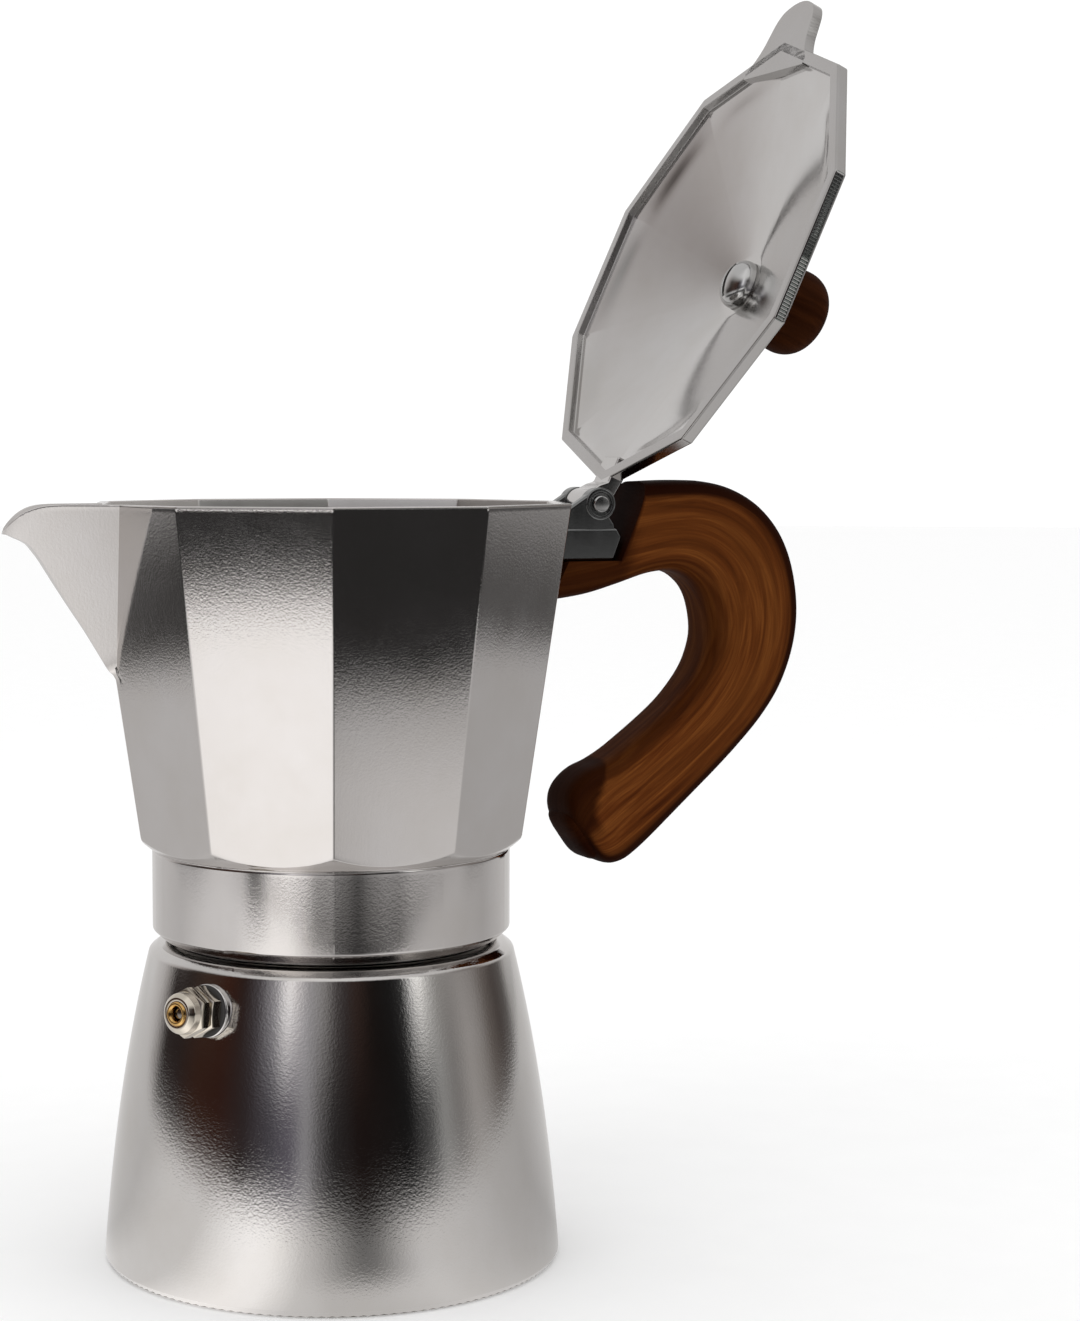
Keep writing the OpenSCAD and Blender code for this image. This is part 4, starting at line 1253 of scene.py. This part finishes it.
def make_inner():
    prof = fillet([(3.7, 8), (4.5, 8), (4.5, 50), (8, 53.2), (29.4, 57.6), (30.8, 59), (30.8, 85), (35.4, 85),
                   (35.8, 85.4), (35.6, 86), (30, 86), (30, 59.4), (29.2, 58.5), (7.6, 54), (3.7, 50.4)],
                  [.15, .15, 3, 3, 1.5, 1, .4, .1, .2, .2, .5, .5, .8, 2, 2], 4, closed=True)
    o = lathe("funnel_basket", prof, M["funnel"], 192, closed=True)
    sharp_by_angle(o, 55)
    weighted(o)
    place(o, "funnel", "funnel", "funnel")
    o = perforated("basket_sieve", 29.9, 59.4, 60.3, hole_rings(3.4, 8), 0.55, M["funnel"], hole_n=12)
    place(o, "funnel", "funnel_sieve", "funnel_sieve")
    o = lathe("seal_ring", fillet([(28.5, 86), (36.1, 86), (36.1, 89.5), (28.5, 89.5)], .45, 4, closed=True),
              M["gasket"], 192, closed=True)
    weighted(o)
    place(o, "seal", "gasket", "gasket")
    disc = perforated("plate_disc", 26.9, 88.25, 88.85, hole_rings(2.9, 8), 0.42, M["funnel"], hole_n=12)
    rim = lathe("plate_rim", fillet([(26.6, 88.2), (28.0, 88.6), (28.0, 89.5), (34.5, 89.5), (34.5, 90.2), (27.4, 90.2),
                                     (27.3, 89.0), (26.4, 88.9)], [.1, .3, .2, .15, .2, .4, .3, .1], 3, closed=True),
                M["funnel"], 192, closed=True)
    sharp_by_angle(rim, 55)
    o = join("filter_screen", [disc, rim])
    place(o, "seal", "filter_plate", "filter_plate")
    # chimney with its two side openings
    prof = [(3.9, 92.8), (5.48, 92.8), (5.48, 95.25)]
    prof += [tuple(p) for p in fillet([(5.6, 95.25), (7.4, 95.25), (7.4, 96.5), (6.6, 96.9), (6.4, 105)], [0, .1, .5, .5, 0], 3)]
    prof += [(6.6 - z / 50.0, 96.4 + z) for z in np.linspace(10, 48, 14)]
    prof += [tuple(p) for p in fillet([(5.62, 145.6), (5.55, 146.6), (3.7, 148.9), (0, 149)], [0, .8, .8, 0], 4)]
    prof += [(0, 145), (3.9, 145), (3.9, 120)]
    # closed along the bore
    o = lathe("chimney_pipe", prof[:1] + prof[1:-3] + [(0, 145.0), (3.7, 145.0), (3.9, 144.8), (3.9, 120.0), (3.9, 92.8)],
              M["inside"], 96)
    c = lathe("port", [(0, -9), (1.9, -9), (1.9, 9), (0, 9)], None, 32)
    transform(c, Matrix.Translation((0, 0, 142 * MM)) @ Matrix.Rotation(90 * RAD, 4, "X"))
    carve(o, [c])
    bm = bmesh.new()
    bm.from_mesh(o.data)
    bmesh.ops.remove_doubles(bm, verts=bm.verts, dist=1e-6)
    bmesh.ops.recalc_face_normals(bm, faces=bm.faces)
    bm.to_mesh(o.data)
    bm.free()
    sharp_by_angle(o, 40)
    weighted(o)
    place(o, "upper", "chimney", "chimney")


def make_small():
    prof = fillet([(0, -8.55), (1.45, -8.55), (1.6, -8.3), (1.6, 8.1), (2.1, 8.15), (1.75, 8.68), (0, 8.7)],
                  [0, .15, .1, .1, .2, .2, 0], 3)
    o = lathe("pin_hinge", prof, M["steel"], 48)
    sharp_by_angle(o, 50)
    transform(o, Matrix.Translation((HX * MM, 0, HZ * MM)) @ Matrix.Rotation(90 * RAD, 4, "X"))
    place(o, "upper", "hinge_pin", "hinge_pin")
    o = lathe("insert_handle", fillet([(2.1, 151.4), (3.19, 151.4), (3.19, 156.7), (2.1, 156.7)], [.15] * 4, 2,
                                      closed=True), M["brass"], 48, closed=True)
    transform(o, Matrix.Translation((60 * MM, 0, 0)))
    place(o, "upper", "handle_insert", "handle_insert")
    s = lathe("screw_handle", [(0, 149.4), (3.3, 149.4), (3.8, 149.8), (3.8, 151.3), (3.6, 151.4), (1.98, 151.4),
                               (1.98, 161.6), (1.6, 162), (0, 162)], M["steel"], 64)
    c = prism("slot2", [(-5, 148.4), (5, 148.4), (5, 150.2), (-5, 150.2)], -0.5, 0.5, None, 0)
    carve(s, [c])
    sharp_by_angle(s, 34)
    transform(s, Matrix.Translation((60 * MM, 0, 0)))
    place(s, "upper", "handle_screw", "handle_screw")


make_boiler()
make_chamber()
make_lid()
make_handle()
make_knob()
make_valve()
make_inner()
make_small()

for n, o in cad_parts.items():
    o.data.materials.clear()
    o.data.materials.append(M["inside"])

# ---------------------------------------------------------------- camera
sc = bpy.context.scene
cam = bpy.data.cameras.new("camera")
cam_o = bpy.data.objects.new("camera", cam)
sc.collection.objects.link(cam_o)
sc.camera = cam_o
AZ, PITCH, YAW = -18.62 * RAD, 4.46 * RAD, 2.32 * RAD
back = np.array([math.sin(AZ), -math.cos(AZ), 0.0])
pos = back * 608.09 + np.array([0, 0, 182.17])
right = np.array([math.cos(AZ), math.sin(AZ), 0.0])
fwd = -back
f2 = fwd * math.cos(YAW) + right * math.sin(YAW)
r2 = right * math.cos(YAW) - fwd * math.sin(YAW)
up = np.array([0, 0, 1.0])
f3 = f2 * math.cos(PITCH) - up * math.sin(PITCH)
u3 = up * math.cos(PITCH) + f2 * math.sin(PITCH)
mw = Matrix.Identity(4)
for i in range(3):
    mw[i][0], mw[i][1], mw[i][2], mw[i][3] = r2[i], u3[i], -f3[i], pos[i] * MM
cam_o.matrix_world = mw
cam.sensor_fit = "AUTO"
cam.sensor_width = 36
cam.lens = 36 * 2703.6 / 1321
cam.shift_x = 100 / 1321
cam.shift_y = 0.5 / 1321
cam.clip_start = 0.01
cam.clip_end = 50

# ---------------------------------------------------------------- floor, backdrop and light
def floor_mat():
    m, nt, b = mat_new("studio_paper")
    n = noise(nt, coords(nt), 60, 3, 0.5)
    nt.links.new(ramp(nt, n, [(0.3, (0.93, 0.93, 0.93)), (0.7, (0.94, 0.94, 0.94))]), b.inputs["Base Color"])
    b.inputs["Roughness"].default_value = 0.9
    b.inputs["Specular IOR Level"].default_value = 0.1
    return m


FM = floor_mat()
R_IN = 0.43


def ring_floor(name, r0, r1, n=128, z=-0.0001):
    V, F = [], []
    for r in (r0, r1):
        for i in range(n):
            a = TAU * i / n
            V.append((r * math.cos(a), r * math.sin(a), z))
    if r0 == 0:
        V = V[n:]
        F = [tuple(range(n))]
    else:
        F = [(i, (i + 1) % n, n + (i + 1) % n, n + i) for i in range(n)]
    o = new_obj(name, V, F, FM, 0)
    for p in o.data.polygons:
        if p.normal.z < 0:
            p.flip()
    return o


ring_floor("floor_near", 0, R_IN).visible_glossy = False
far = ring_floor("floor_far", R_IN, 6.0)
far.visible_glossy = False


def make_painted_light_sheet():
    """Glowing sheet on the table that only reflections see: its emission is painted light standing in for bright paper
    of uneven width, with a painted pool of light and painted darker patches on it.
    """
    edge_az = [-180, -140, -108, -70, -35, -10, 15, 37, 60, 108, 140, 180]
    edge_r = [1.2, .9, .6, .56, .505, .45, .37, .40, .5, .64, .9, 1.2]
    # painted light: the glow's strength by azimuth, with a painted pool of light round -35 degrees
    tone_az = [-180, -130, -107, -85, -62, -46, -35, -25, -12, 0, 15, 37, 60, 82, 109, 140, 180]
    tone = [.77, .70, .66, .86, .9, 1.25, 1.42, 1.36, .88, .76, .76, .88, .74, .62, .53, .68, .77]
    n, rr = 180, [0, .03, .05, .06, .07, .08, .09, .105, .12, .14, .16, .18, .2, .22, .24, .26, .28, .31, .35, .4]
    V, F, T = [], [], []
    for i in range(n):
        phi = -180 + 360 * i / n
        R = float(np.interp(phi, edge_az, edge_r))
        g = math.exp(-((phi - 14) / 17.0) ** 2)
        for j, r in enumerate(rr + [None, None]):
            if r is None:
                r = R - 0.03 if j == len(rr) else R
            r = min(r, R - 0.03) if j < len(rr) else r
            a = (phi - 108.62) * RAD
            V.append((r * math.cos(a), r * math.sin(a), -0.0002))
            t = float(np.interp(phi, tone_az, tone))
            # painted shade in the glow: a darker patch round 14 degrees from 85 mm outwards, and the part beyond 0.3 m
            # round 37 degrees dimmer
            t *= 1 - 0.72 * g * smooth((r - 0.085) / 0.05)
            t *= 1 - 0.3 * smooth((r - 0.3) / 0.1) * math.exp(-((phi - 37) / 28.0) ** 2)
            T.append(t)
    m = len(rr) + 2
    for i in range(n):
        k = (i + 1) % n
        for j in range(m - 1):
            F.append((i * m + j, i * m + j + 1, k * m + j + 1, k * m + j))
    mat = bpy.data.materials.new("painted_light_sheet")
    mat.use_nodes = True
    nt_ = mat.node_tree
    nt_.nodes.clear()
    out = nt_.nodes.new("ShaderNodeOutputMaterial")
    em = nt_.nodes.new("ShaderNodeEmission")
    at = nt_.nodes.new("ShaderNodeAttribute")
    at.attribute_name = "tone"
    em.inputs["Color"].default_value = (1, .985, .975, 1)
    nt_.links.new(at.outputs["Fac"], em.inputs["Strength"])
    nt_.links.new(em.outputs[0], out.inputs[0])
    o = new_obj("painted_light_sheet", V, F, mat, 0)
    add_attr(o, "tone", T, "FLOAT")
    o.visible_camera = o.visible_diffuse = o.visible_shadow = False
    o.visible_transmission = o.visible_volume_scatter = False


make_painted_light_sheet()

w = bpy.data.worlds.new("studio")
sc.world = w
w.use_nodes = True
nt = w.node_tree
nt.nodes.clear()
wo = nt.nodes.new("ShaderNodeOutputWorld")
plain = nt.nodes.new("ShaderNodeBackground")
plain.inputs[0].default_value = (1, 1, 1, 1)
plain.inputs[1].default_value = 1.06
soft = nt.nodes.new("ShaderNodeBackground")
soft.inputs[1].default_value = 1.0
mx = nt.nodes.new("ShaderNodeMixShader")
lp = nt.nodes.new("ShaderNodeLightPath")
nt.links.new(lp.outputs["Is Glossy Ray"], mx.inputs[0])
nt.links.new(plain.outputs[0], mx.inputs[1])
nt.links.new(soft.outputs[0], mx.inputs[2])
nt.links.new(mx.outputs[0], wo.inputs[0])
tc = nt.nodes.new("ShaderNodeTexCoord")
rot = nt.nodes.new("ShaderNodeVectorRotate")
rot.rotation_type = "Z_AXIS"
rot.inputs["Angle"].default_value = 108.62 * RAD
nt.links.new(tc.outputs["Generated"], rot.inputs["Vector"])
sx = nt.nodes.new("ShaderNodeSeparateXYZ")
nt.links.new(rot.outputs[0], sx.inputs[0])
az = math_n(nt, "ARCTAN2", sx.outputs[1], sx.outputs[0])
azn = math_n(nt, "MULTIPLY_ADD", az, 1 / TAU, 0.5)
el = math_n(nt, "ARCSINE", sx.outputs[2])
eln = math_n(nt, "MULTIPLY_ADD", el, 1 / math.pi, 0.5)


def A(deg):
    return (deg + 180) / 360


def E(deg):
    return (deg + 90) / 180


HI = [(-180, (.78, .77, .765)), (-135, (.78, .765, .76)), (-120, (.60, .57, .56)), (-108, (.30, .27, .26)),
      (-98, (.06, .05, .045)), (-82, (.07, .046, .035)), (-66, (.055, .02, .012)), (-54, (.03, .018, .015)),
      (-44, (.10, .09, .10)), (-34, (.45, .44, .47)), (-26, (1.3, 1.28, 1.3)), (-20, (.8, .78, .8)),
      (-14, (.45, .44, .46)), (-5, (.32, .31, .31)), (2, (.10, .09, .09)), (8, (.05, .042, .042)),
      (14, (.045, .028, .023)), (24, (.012, .009, .008)), (36, (.012, .012, .012)), (44, (.05, .05, .05)),
      (49, (.8, .8, .8)), (54, (1.4, 1.4, 1.38)), (60, (.75, .75, .74)), (66, (.42, .41, .40)),
      (76, (.38, .365, .36)), (90, (.31, .29, .285)), (104, (.26, .235, .22)), (116, (.5, .48, .47)),
      (146, (.78, .765, .76))]
LO = [(-180, (.78, .77, .765)), (-140, (.78, .77, .765)), (-124, (.60, .58, .57)), (-117, (.36, .34, .33)),
      (-110, (.035, .028, .026)), (-96, (.03, .021, .019)), (-80, (.045, .02, .013)), (-64, (.04, .016, .011)),
      (-48, (.035, .026, .026)), (-32, (.08, .075, .09)), (-22, (.14, .13, .16)), (-14, (.36, .355, .375)),
      (-7, (.13, .125, .13)), (0, (.03, .028, .028)), (14, (.014, .009, .008)), (42, (.010, .010, .010)),
      (54, (.10, .10, .10)), (62, (.36, .36, .355)), (72, (.26, .25, .245)), (84, (.44, .42, .41)),
      (93, (.36, .34, .33)), (104, (.16, .14, .13)), (114, (.09, .075, .07)), (125, (.14, .13, .125)),
      (134, (.52, .51, .5)), (146, (.70, .69, .68)), (165, (.78, .77, .765))]
band = mixc(nt, ramp(nt, eln, [(E(4), 0), (E(14), 1)]), ramp(nt, azn, [(A(a), c) for a, c in LO]),
            ramp(nt, azn, [(A(a), c) for a, c in HI]))
# below the horizon the room in front is dark, behind the pot the paper goes on
LOWB = [(-180, .8), (-150, .8), (-125, .72), (-119, .40), (-113, .06), (-90, .04), (60, .03), (100, .04), (118, .12),
        (134, .5), (150, .8), (180, .8)]
lowc = ramp(nt, azn, [(A(a), (c, c * .975, c * .965)) for a, c in LOWB])
# overhead softbox
HIGHB = [(-180, .72), (-120, .7), (-85, .7), (-60, .8), (-35, 1.0), (0, .9), (60, .8), (120, .7), (180, .72)]
high = ramp(nt, azn, [(A(a), (c, c * .99, c * .985)) for a, c in HIGHB])
# a second bright patch further back, seen by upright walls only
MID = [(-180, .75), (-160, .74), (-128, .74), (-118, .5), (-96, .5), (-80, .85), (-70, .92), (-58, .75), (-51, .18), (-46, .30), (-38, 1.2), (-27, 1.5), (-17, 1.2),
       (-10, .6), (0, .5), (9, .25), (17, .12), (24, .3), (34, .45), (43, .42), (52, .62), (88, .6), (100, .38), (118, .38),
       (140, .34), (155, .6), (180, .75)]
midc = ramp(nt, azn, [(A(a), (c, c * .985, c * .98)) for a, c in MID])
fm = ramp(nt, eln, [(E(-10.6), 0), (E(-9.2), 1)])
fl = ramp(nt, eln, [(E(-6), 0), (E(-1.5), 1)])
fh = ramp(nt, eln, [(E(26), 0), (E(44), 1)])
c1 = mixc(nt, fl, mixc(nt, fm, lowc, midc), band)
c2 = mixc(nt, fh, c1, high)
nt.links.new(c2, soft.inputs[0])


def area(name, az_deg, el_deg, dist, size, power, target=(0, 0, 0.09), glossy=True, size_y=None):
    """az_deg is measured from the camera's side towards the right of the picture."""
    L = bpy.data.lights.new(name, "AREA")
    L.energy = power
    L.shape = "RECTANGLE"
    L.size = size
    L.size_y = size_y or size
    o = bpy.data.objects.new(name, L)
    sc.collection.objects.link(o)
    a = (-108.62 + az_deg) * RAD
    e = el_deg * RAD
    p = Vector(target) + dist * Vector((math.cos(a) * math.cos(e), math.sin(a) * math.cos(e), math.sin(e)))
    o.location = p
    o.rotation_euler = (Vector(target) - p).to_track_quat("-Z", "Y").to_euler()
    o.visible_camera = False
    o.visible_glossy = glossy
    return o


area("key", -35, 55, 1.3, 0.9, 1.6, glossy=False)
area("fill", 60, 40, 1.4, 0.9, 1.0, glossy=False)

sc.view_settings.view_transform = "Standard"
sc.view_settings.look = "None"
sc.view_settings.exposure = 0
sc.view_settings.gamma = 1

bpy.context.view_layer.update()
